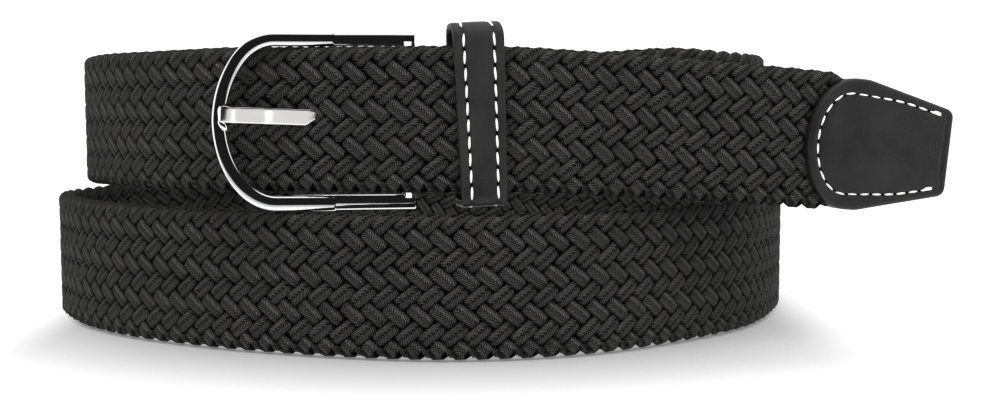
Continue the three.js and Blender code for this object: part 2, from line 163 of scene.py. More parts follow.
tipSize = {
    "length": 40.3 * mm, "baseHeight": 32.7 * mm, "endHeight": 22.4 * mm, "arch": 11.5 * mm,
    "straight": 3.3 * mm, "pocket": 17 * mm, "pocketTaper": 0.1,
    "narrowing": (4.6 * mm, 10.5 * mm),    # past its mouth, where the braid is drawn in
    "drawn": 31.4 * mm,
}
tipMouth = strapLine["length"] - tipSize["length"]
strapEnd = tipMouth + tipSize["pocket"]

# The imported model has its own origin: the whole line moves so that its band fills the node's box.
edges = np.concatenate([
    onLine(strapLine, np.linspace(0, strapEnd, 900), side * belt["thickness"] / 2, 0.0) for side in (-1, 1)
])
low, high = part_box("braided_strap")
shift = np.array(((low.x + high.x) / 2, (low.y + high.y) / 2, 0.0))
shift[:2] -= (edges.max(0)[:2] + edges.min(0)[:2]) / 2
for line in (frontLine, strapLine):
    line["point"] = line["point"] + shift
print("strap line laid out,", round(strapEnd / mm), "mm long")


def meshFrom(bm, name):
    mesh = bpy.data.meshes.new(name)
    bm.to_mesh(mesh)
    bm.free()
    return mesh


def addObject(name, data):
    thing = bpy.data.objects.new(name, data)
    bpy.context.scene.collection.objects.link(thing)
    return thing


# The object's mesh with its modifiers applied
def finishedMesh(thing):
    return bpy.data.meshes.new_from_object(thing.evaluated_get(bpy.context.evaluated_depsgraph_get()))


def meshPiece(name, bm, material, node, smooth=True):
    mesh = meshFrom(bm, name)
    for polygon in mesh.polygons:
        polygon.use_smooth = smooth
    mesh.materials.append(material)
    thing = addObject(name, mesh)
    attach(thing, "root")
    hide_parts(node)
    return thing


def closeSeams(bm):
    bmesh.ops.remove_doubles(bm, verts=bm.verts, dist=0.004 * mm)
    bmesh.ops.recalc_face_normals(bm, faces=bm.faces)


def moveVerts(bm, move):
    places = np.array([v.co for v in bm.verts], float)
    for vert, place in zip(bm.verts, move(places)):
        vert.co = place


# A sheet of u by v cells, both running 0 to 1, ready to be rolled or laid into place, with its UV map
def unitSheet(uCells, vCells):
    bm = bmesh.new()
    bm.loops.layers.uv.new("UVMap")
    bmesh.ops.create_grid(bm, x_segments=uCells, y_segments=vCells, size=0.5, calc_uvs=True)
    bmesh.ops.translate(bm, verts=bm.verts, vec=(0.5, 0.5, 0))
    return bm


# Whole cell counts along u and v for a sheet's points
def cellsOf(places, uCells, vCells):
    return np.round(places[:, :2] * (uCells, vCells)).astype(int).T


# Shared shader effects, as node groups: a place and some numbers in, numbers out
def nodeGroup(name, inputs, outputs):
    group = bpy.data.node_groups.new(name, "ShaderNodeTree")
    group.interface.new_socket(name="Vector", in_out="INPUT", socket_type="NodeSocketVector")
    for socketName, value in inputs.items():
        socket = group.interface.new_socket(name=socketName, in_out="INPUT", socket_type="NodeSocketFloat")
        socket.default_value = value
    for socketName in outputs:
        group.interface.new_socket(name=socketName, in_out="OUTPUT", socket_type="NodeSocketFloat")
    return group, group.nodes.new("NodeGroupInput"), group.nodes.new("NodeGroupOutput")


# Puts a number, a colour or another node's output into a socket
def feed(tree, socket, value):
    if isinstance(value, tuple):
        socket.default_value = (*value, 1)
    elif isinstance(value, (int, float)):
        socket.default_value = value
    else:
        tree.links.new(value, socket)


def mathNode(tree, operation, a, b=0.5, clamp=False):
    node = tree.nodes.new("ShaderNodeMath")
    node.operation = operation
    node.use_clamp = clamp
    feed(tree, node.inputs[0], a)
    feed(tree, node.inputs[1], b)
    return node.outputs[0]


def plus(tree, a, b, clamp=False):
    return mathNode(tree, "ADD", a, b, clamp)


def minus(tree, a, b, clamp=False):
    return mathNode(tree, "SUBTRACT", a, b, clamp)


def times(tree, a, b, clamp=False):
    return mathNode(tree, "MULTIPLY", a, b, clamp)


def noiseNode(tree, vector, scale, detail=3.0, roughness=0.5):
    node = tree.nodes.new("ShaderNodeTexNoise")
    node.inputs["Detail"].default_value = detail
    node.inputs["Roughness"].default_value = roughness
    feed(tree, node.inputs["Scale"], scale)
    tree.links.new(vector, node.inputs["Vector"])
    return node.outputs["Fac"]


def rampNode(tree, value, stops):
    node = tree.nodes.new("ShaderNodeValToRGB")
    while len(node.color_ramp.elements) < len(stops):
        node.color_ramp.elements.new(0.5)
    for element, (position, colour) in zip(node.color_ramp.elements, stops):
        element.position = position
        element.color = (*colour, 1) if isinstance(colour, tuple) else (colour, colour, colour, 1)
    tree.links.new(value, node.inputs["Fac"])
    return node.outputs["Color"]


def mixColour(tree, factor, a, b, blend="MIX"):
    node = tree.nodes.new("ShaderNodeMix")
    node.data_type = "RGBA"
    node.blend_type = blend
    for socket, value in ((node.inputs["Factor"], factor), (node.inputs[6], a), (node.inputs[7], b)):
        feed(tree, socket, value)
    return node.outputs[2]


def tinted(tree, tone, tint):
    return mixColour(tree, 1.0, tone, tint, "MULTIPLY")


def mixValue(tree, factor, a, b):
    node = tree.nodes.new("ShaderNodeMix")
    node.data_type = "FLOAT"
    for socket, value in ((node.inputs["Factor"], factor), (node.inputs[2], a), (node.inputs[3], b)):
        feed(tree, socket, value)
    return node.outputs[0]


# A wave from 0 to 1, with so many turns for each whole of the value
def waveNode(tree, value, turns=1):
    wave = mathNode(tree, "SINE", times(tree, value, 2 * math.pi * turns))
    return plus(tree, times(tree, wave, 0.5), 0.5)


# Slow change of tone over a surface: a factor from 0 to 1
def buildMottle():
    group, source, sink = nodeGroup("softMottle", {"Scale": 60.0, "Contrast": 1.0}, ["Factor"])
    spots = noiseNode(group, source.outputs["Vector"], source.outputs["Scale"], 4.0, 0.6)
    centred = minus(group, spots, 0.5)
    scaled = times(group, centred, source.outputs["Contrast"])
    group.links.new(plus(group, scaled, 0.5, clamp=True), sink.inputs["Factor"])
    return group


# Fine pebbled grain: a height, and a crease that is 0 along the grain's thin lines and 1 off them
def buildGrain():
    group, source, sink = nodeGroup("leatherGrain", {"Scale": 1800.0}, ["Height", "Crease"])
    cells = group.nodes.new("ShaderNodeTexVoronoi")
    cells.feature = "DISTANCE_TO_EDGE"
    group.links.new(source.outputs["Vector"], cells.inputs["Vector"])
    group.links.new(source.outputs["Scale"], cells.inputs["Scale"])
    crease = times(group, cells.outputs["Distance"], 4.0, clamp=True)
    fineScale = times(group, source.outputs["Scale"], 1.7)
    fine = noiseNode(group, source.outputs["Vector"], fineScale, 4.0, 0.6)
    height = plus(group, times(group, crease, 0.55), times(group, fine, 0.45))
    group.links.new(height, sink.inputs["Height"])
    group.links.new(crease, sink.inputs["Crease"])
    return group


softMottle = buildMottle()
leatherGrain = buildGrain()


def useGroup(tree, group, vector, **values):
    node = tree.nodes.new("ShaderNodeGroup")
    node.node_tree = group
    tree.links.new(vector, node.inputs["Vector"])
    for name, value in values.items():
        node.inputs[name].default_value = value
    return node.outputs


def newMaterial(name, **constants):
    material = bpy.data.materials.new(name)
    material.use_nodes = True
    tree = material.node_tree
    shader = tree.nodes["Principled BSDF"]
    for socket, value in constants.items():
        shader.inputs[socket.replace("_", " ")].default_value = value
    return material, tree, shader, tree.nodes.new("ShaderNodeTexCoord").outputs


def addBump(tree, shader, height, strength, distance, under=None):
    bump = tree.nodes.new("ShaderNodeBump")
    bump.inputs["Strength"].default_value = strength
    bump.inputs["Distance"].default_value = distance
    tree.links.new(height, bump.inputs["Height"])
    if under is not None:
        tree.links.new(under, bump.inputs["Normal"])
    tree.links.new(bump.outputs["Normal"], shader.inputs["Normal"])
    return bump.outputs["Normal"]


# Knitted elastic cord: the UV map runs along the cord, once for each cycle of the braid, and round it.
# The depth attribute is 1 on the strap's outer face, falls to 0 at its middle and is less near the tip; the
# cords are darkened by it, a painted shade in the crevices between them and a painted shadow along the tip's
# mouth.
yarn = {
    "ribs": 238.0,             # knit ribs in one cycle of a cord
    "lean": 5.0,               # ribs by which the knit leans from the cord's middle to its side
    "rows": 11,                # of knit, round the cord
    "drift": (700.0, 1.1),     # of the ribs: how fine it is, and how many ribs at most
    "relief": (0.66, 0.12, 0.8),       # height of the ribs, of the rows and of the fibres
    "fibres": 3200.0,
    "pits": (0.265, 0.008, 0.03),      # around the cord: where they are, half their width, softness
    "pitDepth": 0.5,
    "line": (0.80, 0.005, 0.012),      # the same for the bright line on the cord's inner side
    "lineHeight": 0.4,
    "patches": 42.0,           # how fine the bright line's breaks are
    # tones of the knit from its hollows to its crests: the dark end is painted shade, the light end a
    # painted highlight
    "dark": (0.0050, 0.0049, 0.0050),
    "mid": (0.0160, 0.0158, 0.0158),
    "light": (0.135, 0.133, 0.131),
    "thread": (0.38, 0.375, 0.37),
    "tints": ((0.82, 0.90, 0.86), (1.14, 1.06, 1.04)),
    "paintedShade": (0.60, 0.97),     # depths between which a crevice turns dark: painted shade
    "paintedSideShade": 0.30,         # tone left on a cord's sides: painted shade between the cords
}


# 1 where the value is close to the middle, fading to 0
def bandMask(tree, value, middle, half, soft):
    away = mathNode(tree, "ABSOLUTE", minus(tree, value, middle))
    return minus(tree, 1.0, mathNode(tree, "DIVIDE", minus(tree, away, half), soft), True)


def yarnMaterial():
    material, tree, shader, coords = newMaterial("charcoalYarn", Roughness=0.82, Specular_IOR_Level=0.25)
    split = tree.nodes.new("ShaderNodeSeparateXYZ")
    tree.links.new(coords["UV"], split.inputs["Vector"])
    alongCord, aroundCord = split.outputs["X"], split.outputs["Y"]
    fibre = noiseNode(tree, coords["Object"], yarn["fibres"], 2.0, 0.6)
    driftScale, driftReach = yarn["drift"]
    drift = times(tree, noiseNode(tree, coords["Object"], driftScale, 2.0, 0.5), driftReach)
    # 0 at the cord's sides, a quarter at its faces
    fromSide = mathNode(tree, "PINGPONG", plus(tree, aroundCord, 0.25), 0.25)
    leaning = times(tree, fromSide, 4 * yarn["lean"])
    ribPhase = plus(tree, plus(tree, times(tree, alongCord, yarn["ribs"]), leaning), drift)
    rib = waveNode(tree, ribPhase)
    row = waveNode(tree, aroundCord, yarn["rows"])
    ribRelief, rowRelief, fibreRelief = yarn["relief"]
    knit = plus(tree, times(tree, rib, ribRelief), times(tree, row, rowRelief))
    height = plus(tree, knit, times(tree, minus(tree, fibre, 0.25), fibreRelief))
    everyOther = mathNode(tree, "SINE", times(tree, ribPhase, math.pi))
    pitted = mathNode(tree, "GREATER_THAN", everyOther, 0.1)
    pit = times(tree, bandMask(tree, aroundCord, *yarn["pits"]), pitted)
    height = minus(tree, height, times(tree, pit, yarn["pitDepth"]))
    dashes = times(tree, minus(tree, fibre, 0.36), 6.0, True)
    patches = noiseNode(tree, coords["Object"], yarn["patches"], 1.0)
    patches = times(tree, minus(tree, patches, 0.32), 5.0, True)
    broken = times(tree, rib, times(tree, dashes, patches))
    line = times(tree, bandMask(tree, aroundCord, *yarn["line"]), broken)
    height = plus(tree, height, times(tree, line, yarn["lineHeight"]))
    # The tone follows the knit's height: painted shade in the hollows and pits, a painted highlight on the
    # rib crests
    tone = rampNode(tree, height, [(0.10, yarn["dark"]), (0.54, yarn["mid"]), (1.0, yarn["light"])])
    tone = mixColour(tree, times(tree, line, 0.85), tone, yarn["thread"])
    mottle = useGroup(tree, softMottle, coords["Object"], Scale=150.0, Contrast=2.2)["Factor"]
    tone = tinted(tree, tone, mixColour(tree, mottle, *yarn["tints"]))
    # Painted shade: the cords turn near black where they sink into the strap, by the depth attribute
    depth = tree.nodes.new("ShaderNodeAttribute")
    depth.attribute_name = "depth"
    low, high = yarn["paintedShade"]
    paintedShade = rampNode(tree, depth.outputs["Fac"], [(low, 0.01), ((low + high) / 2, 0.28), (high, 1.0)])
    # Painted shade: each cord darker towards its sides, where it meets its neighbours
    paintedSideShade = rampNode(tree, times(tree, fromSide, 4.0), [(0.0, yarn["paintedSideShade"]), (0.42, 1.0)])
    tone = tinted(tree, tone, tinted(tree, paintedShade, paintedSideShade))
    tree.links.new(tone, shader.inputs["Base Color"])
    addBump(tree, shader, height, 1.0, 0.0004)
    return material


leather = {
    "grain": 2200.0,
    "tones": ((0.0105, 0.0105, 0.0111), (0.0205, 0.0203, 0.0200)),
    # darker along the grain's thin lines: painted shade in the creases
    "creaseShade": ((0.75, 0.75, 0.75), (1.05, 1.05, 1.05)),
}


def leatherMaterial():
    material, tree, shader, coords = newMaterial("blackLeather", Specular_IOR_Level=0.3)
    grain = useGroup(tree, leatherGrain, coords["Object"], Scale=leather["grain"])
    mottle = useGroup(tree, softMottle, coords["Object"], Scale=85.0, Contrast=2.6)["Factor"]
    tone = mixColour(tree, mottle, *leather["tones"])
    # painted shade along the grain's creases
    tone = tinted(tree, tone, mixColour(tree, grain["Crease"], *leather["creaseShade"]))
    tree.links.new(tone, shader.inputs["Base Color"])
    rough = rampNode(tree, mottle, [(0.2, 0.42), (0.8, 0.58)])
    tree.links.new(rough, shader.inputs["Roughness"])
    addBump(tree, shader, grain["Height"], 0.35, 0.0001)
    return material


# Polished metal: waviness is how fine the swell of its surface is, and how high
def chromeMaterial(name, tone, rough, waviness):
    material, tree, shader, coords = newMaterial(name, Metallic=1.0)
    smear = useGroup(tree, softMottle, coords["Object"], Scale=220.0, Contrast=1.2)["Factor"]
    tree.links.new(rampNode(tree, smear, [(0.2, rough), (0.9, rough + 0.07)]), shader.inputs["Roughness"])
    tint = mixColour(tree, smear, tuple(0.96 * c for c in tone), tone)
    tree.links.new(tint, shader.inputs["Base Color"])
    wave = noiseNode(tree, coords["Object"], waviness[0], 1.0)
    swell = addBump(tree, shader, wave, 1.0, waviness[1])
    fine = noiseNode(tree, coords["Object"], 900.0, 2.0)
    addBump(tree, shader, fine, 0.04, 0.00005, swell)
    return material


def threadMaterial():
    material, tree, shader, coords = newMaterial("whiteThread", Roughness=0.7)
    twist = tree.nodes.new("ShaderNodeTexWave")
    twist.bands_direction = "DIAGONAL"
    twist.inputs["Scale"].default_value = 1500.0
    tree.links.new(coords["Object"], twist.inputs["Vector"])
    # darker in the twist's grooves: painted shade; lighter on its ridges: a painted highlight
    tone = rampNode(tree, twist.outputs["Fac"], [(0.0, (0.62, 0.62, 0.60)), (0.6, (0.88, 0.88, 0.86))])
    tree.links.new(tone, shader.inputs["Base Color"])
    addBump(tree, shader, twist.outputs["Fac"], 0.5, 0.0001)
    return material


yarnFinish = yarnMaterial()
leatherFinish = leatherMaterial()
frameFinish = chromeMaterial("polishedChrome", (0.84, 0.84, 0.85), 0.04, (60.0, 0.0004))
prongFinish = chromeMaterial("polishedProng", (0.93, 0.92, 0.90), 0.09, (90.0, 0.0004))
threadFinish = threadMaterial()
# near black: painted shade inside the needle holes
holeShadeTone = (0.003, 0.003, 0.003, 1)
holeShadeFinish = newMaterial("needleHoleShade", Base_Color=holeShadeTone, Roughness=0.9, Specular_IOR_Level=0.0)[0]
print("materials built")

# The braid: each cord climbs the eight rows of one face, turns over the edge and comes back down
# the other way, so seventeen cords, one for each row of a whole cycle, fill the strap.
braid = {
    "rows": 8,
    "pitch": 5.3 * mm,          # advance of a cord along the strap in one row
    "turn": 0.5,                # further rows that a cord takes to turn over an edge
    "swing": 1.13 * mm,         # of a cord's middle, to the face and to the back
    "flatness": 3.4,            # of the swing's wave: higher lays the floats flatter
    "halfWidth": 1.84 * mm,
    "halfThickness": 1.02 * mm,
    "waist": 0.76,              # share of the width left where a cord goes through the strap
    "waistReach": 0.14,         # rows over which it narrows
    "thinnest": 0.8,            # share of the thickness left there
    "squareness": 2.5,
    "cellsPerRow": 8,
    "sides": 10,
    "unevenness": 0.045,        # of each float's width and swing
    "edgePinch": 0.10,          # share of its width that a cord loses as it turns over an edge
    "edgeReach": 1.10 * mm,     # of a cord's middle from the middle of the edge's round
    "phase": -0.7 * mm,
    "pieces": 4,
    "shadeBand": 0.25 * mm,          # half the thickness of the dark band inside, a painted shade between the cords
    "shadeBandCells": 700,           # along it
    "ends": (0.4 * mm, 0.2 * mm),       # of the strap's line that the cords leave free
    "paintedMouthShadow": 0.72,          # share of the depth close to the tip's mouth, rising to 1 between: a painted shadow of the tip's rim on the braid
    "mouthReach": (0.3 * mm, 2.2 * mm),
    "seed": 7,
}
cycleRows = 2 * (braid["rows"] + braid["turn"])
rowHeight = belt["width"] / braid["rows"]
halfCycle = cycleRows / 2
quarterTurn = (1 + braid["turn"]) / 2       # rows from the edge to the first float's middle


# Middle of a cord at a count of rows along it: height, swing, and how far its face is turned
def cordPath(count, swing):
    count = count % cycleRows
    climbing = np.where(count <= halfCycle, 1.0, -1.0)
    fromFoot = np.where(climbing > 0, count, cycleRows - count)
    toTop = halfCycle - fromFoot
    edge = belt["width"] / 2 - rowHeight * braid["turn"] / 2
    height = np.where(fromFoot < 1, rowHeight * fromFoot**2 / 2 - edge, rowHeight * (fromFoot - 0.5) - edge)
    height = np.where(toTop < 1, edge - rowHeight * toTop**2 / 2, height)
    phase = np.where(fromFoot < quarterTurn, fromFoot / (2 * quarterTurn), fromFoot - braid["turn"] / 2)
    phase = np.where(toTop < quarterTurn, braid["rows"] - toTop / (2 * quarterTurn), phase)
    wave = np.tanh(braid["flatness"] * np.sin(math.pi * phase)) / math.tanh(braid["flatness"])
    out = -climbing * swing * wave
    turned = np.where(fromFoot < quarterTurn, -90 * (1 - fromFoot / quarterTurn), 0.0)
    turned = np.where(toTop < quarterTurn, 90 * (1 - toTop / quarterTurn), turned)
    turned = np.radians(np.where(climbing > 0, turned, 180 - turned))
    fromGap = np.abs(phase - np.round(phase))
    fullness = np.sin(np.clip(fromGap / braid["waistReach"], 0, 1) * math.pi / 2)
    return height, out, turned, fullness


# A circle, or a squarer one for powers over 2, at some angles round it
def rounded(angle, squareness):
    circle = np.stack((np.cos(angle), np.sin(angle)), -1)
    return np.sign(circle) * np.abs(circle) ** (2 / np.asarray(squareness))[..., None]


# Where a cord turns over an edge its section is bent round it, and lies flat past the round
def bentOver(centre, turned, wide, across, deep, thick):
    side = np.where(centre[:, 1] > 0, 1.0, -1.0)
    radius = belt["thickness"] / 2
    edgeMiddle = side * (belt["width"] / 2 - radius)
    fromEdge = np.stack((centre[:, 1] - edgeMiddle, centre[:, 2]), -1)
    reach = np.linalg.norm(fromEdge, axis=1)
    fromEdge *= (np.minimum(reach, braid["edgeReach"]) / np.maximum(reach, 1e-9))[:, None]
    fromEdge += deep[:, 1:] * thick[:, None]
    reach = np.linalg.norm(fromEdge, axis=1)
    sideways = across * (wide[:, 1] * np.cos(turned) - wide[:, 2] * np.sin(turned))
    angle = np.arctan2(fromEdge[:, 0], fromEdge[:, 1])
    angle = np.where(side * angle < -math.pi / 2, angle + side * 2 * math.pi, angle) + sideways / radius
    kept = np.where(side > 0, np.clip(angle, 0, math.pi), np.clip(angle, -math.pi, 0))
    height = edgeMiddle + reach * np.sin(kept) + (angle - kept) * radius * np.cos(kept)
    along = centre[:, 0] + wide[:, 0] * across + deep[:, 0] * thick
    return np.stack((along, height, reach * np.cos(kept)), -1)


# A band of cords, flat: x along the strap, y up it, z out of its outer face. Their unit is one cycle
# of one cord, repeated by an array a pitch apart, and end meets end seventeen units on.
def flatCords(firstUnit, units, random):
    rings = round(cycleRows * braid["cellsPerRow"])
    bm = unitSheet(rings, braid["sides"])
    mesh = meshFrom(bm, "cordUnit")
    thing = addObject("cordUnit", mesh)
    array = thing.modifiers.new("cords", "ARRAY")
    array.count = units
    array.use_relative_offset = False
    array.use_constant_offset = True
    array.constant_offset_displace = (2, 0, 0)
    cords = finishedMesh(thing)
    bpy.data.objects.remove(thing)
    bpy.data.meshes.remove(mesh)
    flat = np.empty(len(cords.vertices) * 3)
    cords.vertices.foreach_get("co", flat)
    flat = flat.reshape(-1, 3)
    unit = np.floor(flat[:, 0] / 2 + 1e-6).astype(int)
    count = np.round((flat[:, 0] - 2 * unit) * rings) / braid["cellsPerRow"]
    around = 2 * math.pi * flat[:, 1]

    wobble = random.normal(0, braid["unevenness"], (units, round(cycleRows) + 1, 3))
    wobble[:, (0, -1)] = 0
    before = np.minimum(np.floor(count).astype(int), wobble.shape[1] - 2)
    share = (count - before)[:, None]
    uneven = 1 + wobble[unit, before] * (1 - share) + wobble[unit, before + 1] * share

    def middle(at):
        height, out, turned, fullness = cordPath(at, braid["swing"])
        return np.stack((braid["pitch"] * at, height, out), -1), turned, fullness

    centre, turned, fullness = middle(count)
    ahead = middle(count + 0.01)[0] - middle(count - 0.01)[0]
    ahead[:, 0] = 0.02 * braid["pitch"]
    jump = np.abs(ahead[:, 1:]).max(1) > 0.05 * braid["pitch"]
    ahead[jump, 1:] = 0
    ahead = unitRows(ahead)
    face = np.stack((np.zeros_like(count), np.sin(turned), np.cos(turned)), -1)
    wide = unitRows(np.cross(ahead, face))
    deep = np.cross(wide, ahead)
    across, thick = rounded(around, braid["squareness"]).T
    across = across * braid["halfWidth"] * (braid["waist"] + (1 - braid["waist"]) * fullness)
    thick = thick * braid["halfThickness"] * (braid["thinnest"] + (1 - braid["thinnest"]) * fullness)
    centre[:, 2] *= uneven[:, 1]
    centre[:, 0] += (firstUnit + unit) * braid["pitch"] + braid["phase"] + (uneven[:, 2] - 1) * 2 * mm
    across *= uneven[:, 0] * (1 - braid["edgePinch"] * np.abs(np.sin(turned)))
    place = centre + wide * across[:, None] + deep * thick[:, None]
    over = np.abs(np.sin(turned)) > 1e-6
    place[over] = bentOver(centre[over], turned[over], wide[over], across[over], deep[over], thick[over])
    cords.vertices.foreach_set("co", place.ravel())
    bm = bmesh.new()
    bm.from_mesh(cords)
    bpy.data.meshes.remove(cords)
    bmesh.ops.remove_doubles(bm, verts=bm.verts, dist=0.01 * mm)
    return bm


# How thin the braid is pressed in the tab and the tip, and how narrow it is drawn at the tip
def pressedShare(distance):
    fromTab = smoothStep(distance, tabSize["pocket"], tabSize["pocket"] + belt["gather"])
    toTip = smoothStep(tipMouth - distance, 0, belt["gather"])
    return belt["pressed"] + (1 - belt["pressed"]) * np.minimum(fromTab, toTip)


def drawnShare(distance):
    atMouth = tipSize["drawn"] / belt["width"]
    start, end = tipSize["narrowing"]
    into = np.clip((distance - tipMouth - end) / (tipSize["pocket"] - end), 0, 1)
    before = smoothStep(distance - tipMouth, start, end)
    return 1 + (atMouth - 1) * before - into * tipSize["pocketTaper"]


# 1 on the strap's rounded outer face, 0 at its middle
def depthIn(height, out):
    halfThickness = belt["thickness"] / 2
    pastCore = max(abs(height) - belt["width"] / 2 + halfThickness, 0)
    return min(math.hypot(pastCore, out) / halfThickness, 1)


# Less than 1 close to the edge of the tip's mouth: a painted shadow of the tip's rim on the braid
def paintedTipShadow(distance, height):
    bow = math.sqrt(max(1 - (2 * height / tipSize["baseHeight"]) ** 2, 0))
    edge = tipMouth + tipSize["arch"] * (1 - bow)
    away = float(smoothStep(edge - distance, *braid["mouthReach"]))
    return braid["paintedMouthShadow"] + (1 - braid["paintedMouthShadow"]) * away


def braidedStrap():
    random = np.random.default_rng(braid["seed"])
    unitsInCycle = round(cycleRows)
    units = math.ceil(strapEnd / braid["pitch"]) + unitsInCycle + 1
    for index in range(braid["pieces"]):
        first = round(index * units / braid["pieces"])
        last = round((index + 1) * units / braid["pieces"])
        bm = flatCords(first - unitsInCycle, last - first, random)
        for cut, outward in ((braid["ends"][0], -1), (strapEnd - braid["ends"][1], 1)):
            everything = [*bm.verts, *bm.edges, *bm.faces]
            bmesh.ops.bisect_plane(
                bm, geom=everything, dist=0.001 * mm, plane_co=(cut, 0, 0), plane_no=(outward, 0, 0),
                clear_outer=True, clear_inner=False,
            )
        openEdges = [edge for edge in bm.edges if edge.is_boundary]
        bmesh.ops.holes_fill(bm, edges=openEdges, sides=braid["sides"])
        bmesh.ops.recalc_face_normals(bm, faces=bm.faces)

        paintedShadeLayer = bm.verts.layers.float.new("depth")
        for vert in bm.verts:
            # the depth carries painted shade in the crevices and a painted shadow by the tip's mouth
            vert[paintedShadeLayer] = depthIn(vert.co.y, vert.co.z) * paintedTipShadow(vert.co.x, vert.co.y)

        def lay(places):
            distance, height, out = places.T
            out = out * pressedShare(distance)
            height = height * drawnShare(distance)
            return onLine(strapLine, distance, -out, height)

        moveVerts(bm, lay)
        meshPiece(f"braid_{index + 1}", bm, yarnFinish, "braided_strap")


# A dark flat band inside the braid, so that no light comes through between the cords: its depth of 0 makes
# it near black, a painted shade in the gaps
def braidShadeBand():
    cells = braid["shadeBandCells"]
    bm = unitSheet(cells, 4)
    halfHeight = (belt["width"] - belt["thickness"]) / 2
    corners = np.array(((-1, -1), (1, -1), (1, 1), (-1, 1), (-1, -1))) * (halfHeight, braid["shadeBand"])

    def lay(places):
        distance = 1 * mm + places[:, 0] * (strapEnd - 2 * mm)
        height, out = corners[cellsOf(places, cells, 4)[1]].T
        return onLine(strapLine, distance, -out, height * drawnShare(distance))

    moveVerts(bm, lay)
    bmesh.ops.remove_doubles(bm, verts=bm.verts, dist=0.004 * mm)
    bmesh.ops.holes_fill(bm, edges=[edge for edge in bm.edges if edge.is_boundary], sides=4)
    bmesh.ops.recalc_face_normals(bm, faces=bm.faces)
    # depth 0 everywhere: the yarn material paints the band near black as shade
    bm.verts.layers.float.new("depth")
    meshPiece("braid_shade_band", bm, yarnFinish, "braided_strap", smooth=False)


braidedStrap()
braidShadeBand()
print("braid laid along the strap line")

# A closed outline of a strip's section: across it and through it, in quarter-round corners and straights
def roundedSection(halfAcross, halfThrough, radius, arcCells, acrossCells, throughCells):
    arcs = []
    for start, signs in ((0, (1, 1)), (90, (-1, 1)), (180, (-1, -1)), (270, (1, -1))):
        angle = np.radians(start + 90 * np.arange(arcCells + 1) / arcCells)
        middle = np.array((halfAcross - radius, halfThrough - radius)) * signs
        arcs.append(middle + radius * np.stack((np.cos(angle), np.sin(angle)), -1))
    points = []
    for arc, following, cells in zip(arcs, arcs[1:] + arcs[:1], (acrossCells, throughCells) * 2):
        points += [*arc, *np.linspace(arc[-1], following[0], cells + 1)[1:-1]]
    return np.array([*points, points[0]])


def ovalSection(sides, outer, inner):
    angle = 2 * math.pi * np.arange(sides + 1) / sides
    return rounded(angle, np.where(np.cos(angle) > 0, outer, inner))


endAngles = (90, 60, 30, 0)     # of the stations that round off the end of a strip


# A strip's values at its stations, with the first and the last repeated for the stations of its ends
def padded(values):
    count = len(endAngles) + 1
    return np.array([*[values[0]] * count, *values[1:-1], *[values[-1]] * count])


# Sweeps one section, or one for each station, along rows of centres and of directions. The section is
# in shares of the halves at each station, and added stations round off both ends and close them.
def sweepStrip(centre, across, through, section, radius, halfAcross, halfThrough):
    def ending(first, second):
        direction = unitRows(first - second)
        rows = []
        for angle in endAngles:
            out = radius * math.sin(math.radians(angle)) - radius
            lost = radius * (1 - math.cos(math.radians(angle)))
            rows.append((first + direction * out, 1 - lost / halfAcross[0], 1 - lost / halfThrough[0]))
        return [(rows[0][0], 0.0, 0.0), *rows]

    middle = [(point, 1.0, 1.0) for point in centre[1:-1]]
    rows = [*ending(centre[0], centre[1]), *middle, *ending(centre[-1], centre[-2])[::-1]]
    points, acrossShare, throughShare = (np.array(column) for column in zip(*rows))
    sideways = padded(across) * (acrossShare * padded(halfAcross))[:, None]
    outward = padded(through) * (throughShare * padded(halfThrough))[:, None]
    stations, around = len(points) - 1, section.shape[-2] - 1
    section = np.broadcast_to(section, (stations + 1, around + 1, 2))
    bm = unitSheet(stations, around)

    def roll(places):
        i, k = cellsOf(places, stations, around)
        return points[i] + sideways[i] * section[i, k, :1] + outward[i] * section[i, k, 1:]

    moveVerts(bm, roll)
    closeSeams(bm)
    return bm


# The buckle: a rod round the arch, a bar between its arms, and the prong on the bar
buckle = {
    "insideHeight": 35.15 * mm,
    "length": 47.2 * mm,
    "archDepth": 14.7 * mm,
    "rodWidth": 3.3 * mm,
    "rodDepth": 2.8 * mm,
    "armOverhang": 1.7 * mm,
    "barRadius": 1.5 * mm,
    "standoff": 4.0 * mm,
    # share of the way from an arm's end to the crown, share of the rod's width there and of its depth
    "rod": [(0.0, 0.93, 0.72), (0.338, 0.96, 0.74), (0.344, 1.02, 1.0), (0.68, 1.02, 1.0), (1.0, 1.02, 1.0)],
    "lowerArm": 1.12,            # the lower arm is a little heavier, past these shares of the way round
    "heavierFrom": (0.54, 0.70),
    # from an arm's end to the crown: squareness of the section's outer half and of its inner half
    "squareness": [(0.0, 2.1, 6.0), (0.338, 2.1, 6.0), (0.344, 2.8, 2.7), (0.80, 2.8, 2.7), (1.0, 3.0, 3.0)],
    # the upper arm alone: how far in it leans, in mm, and its share of the width
    "upperArm": [
        (0.0, 0.40, 1.077), (0.338, 0.40, 1.043), (0.344, 0.42, 0.99), (0.46, 0.46, 1.0),
        (0.80, 0.46, 1.0), (1.0, 0.0, 1.0),
    ],
    "stations": 220,
    "sides": 28,
    "endRadius": 0.25 * mm,
}
archReach = buckle["length"] - buckle["armOverhang"] - buckle["rodWidth"] / 2
barInset = frontFace + belt["leather"] + belt["seatGap"] + buckle["barRadius"]
barMiddle = onLine(frontLine, barDistance, barInset, 0.0)
crownInset = -belt["thickness"] / 2 - buckle["standoff"] - buckle["rodDepth"] / 2
crown = onLine(frontLine, barDistance - archReach, crownInset, 0.0)
buckleTurn = math.atan2(barMiddle[1] - crown[1], barMiddle[0] - crown[0])
placeBuckle = Matrix.Translation(barMiddle) @ Matrix.Rotation(buckleTurn, 4, "Z")


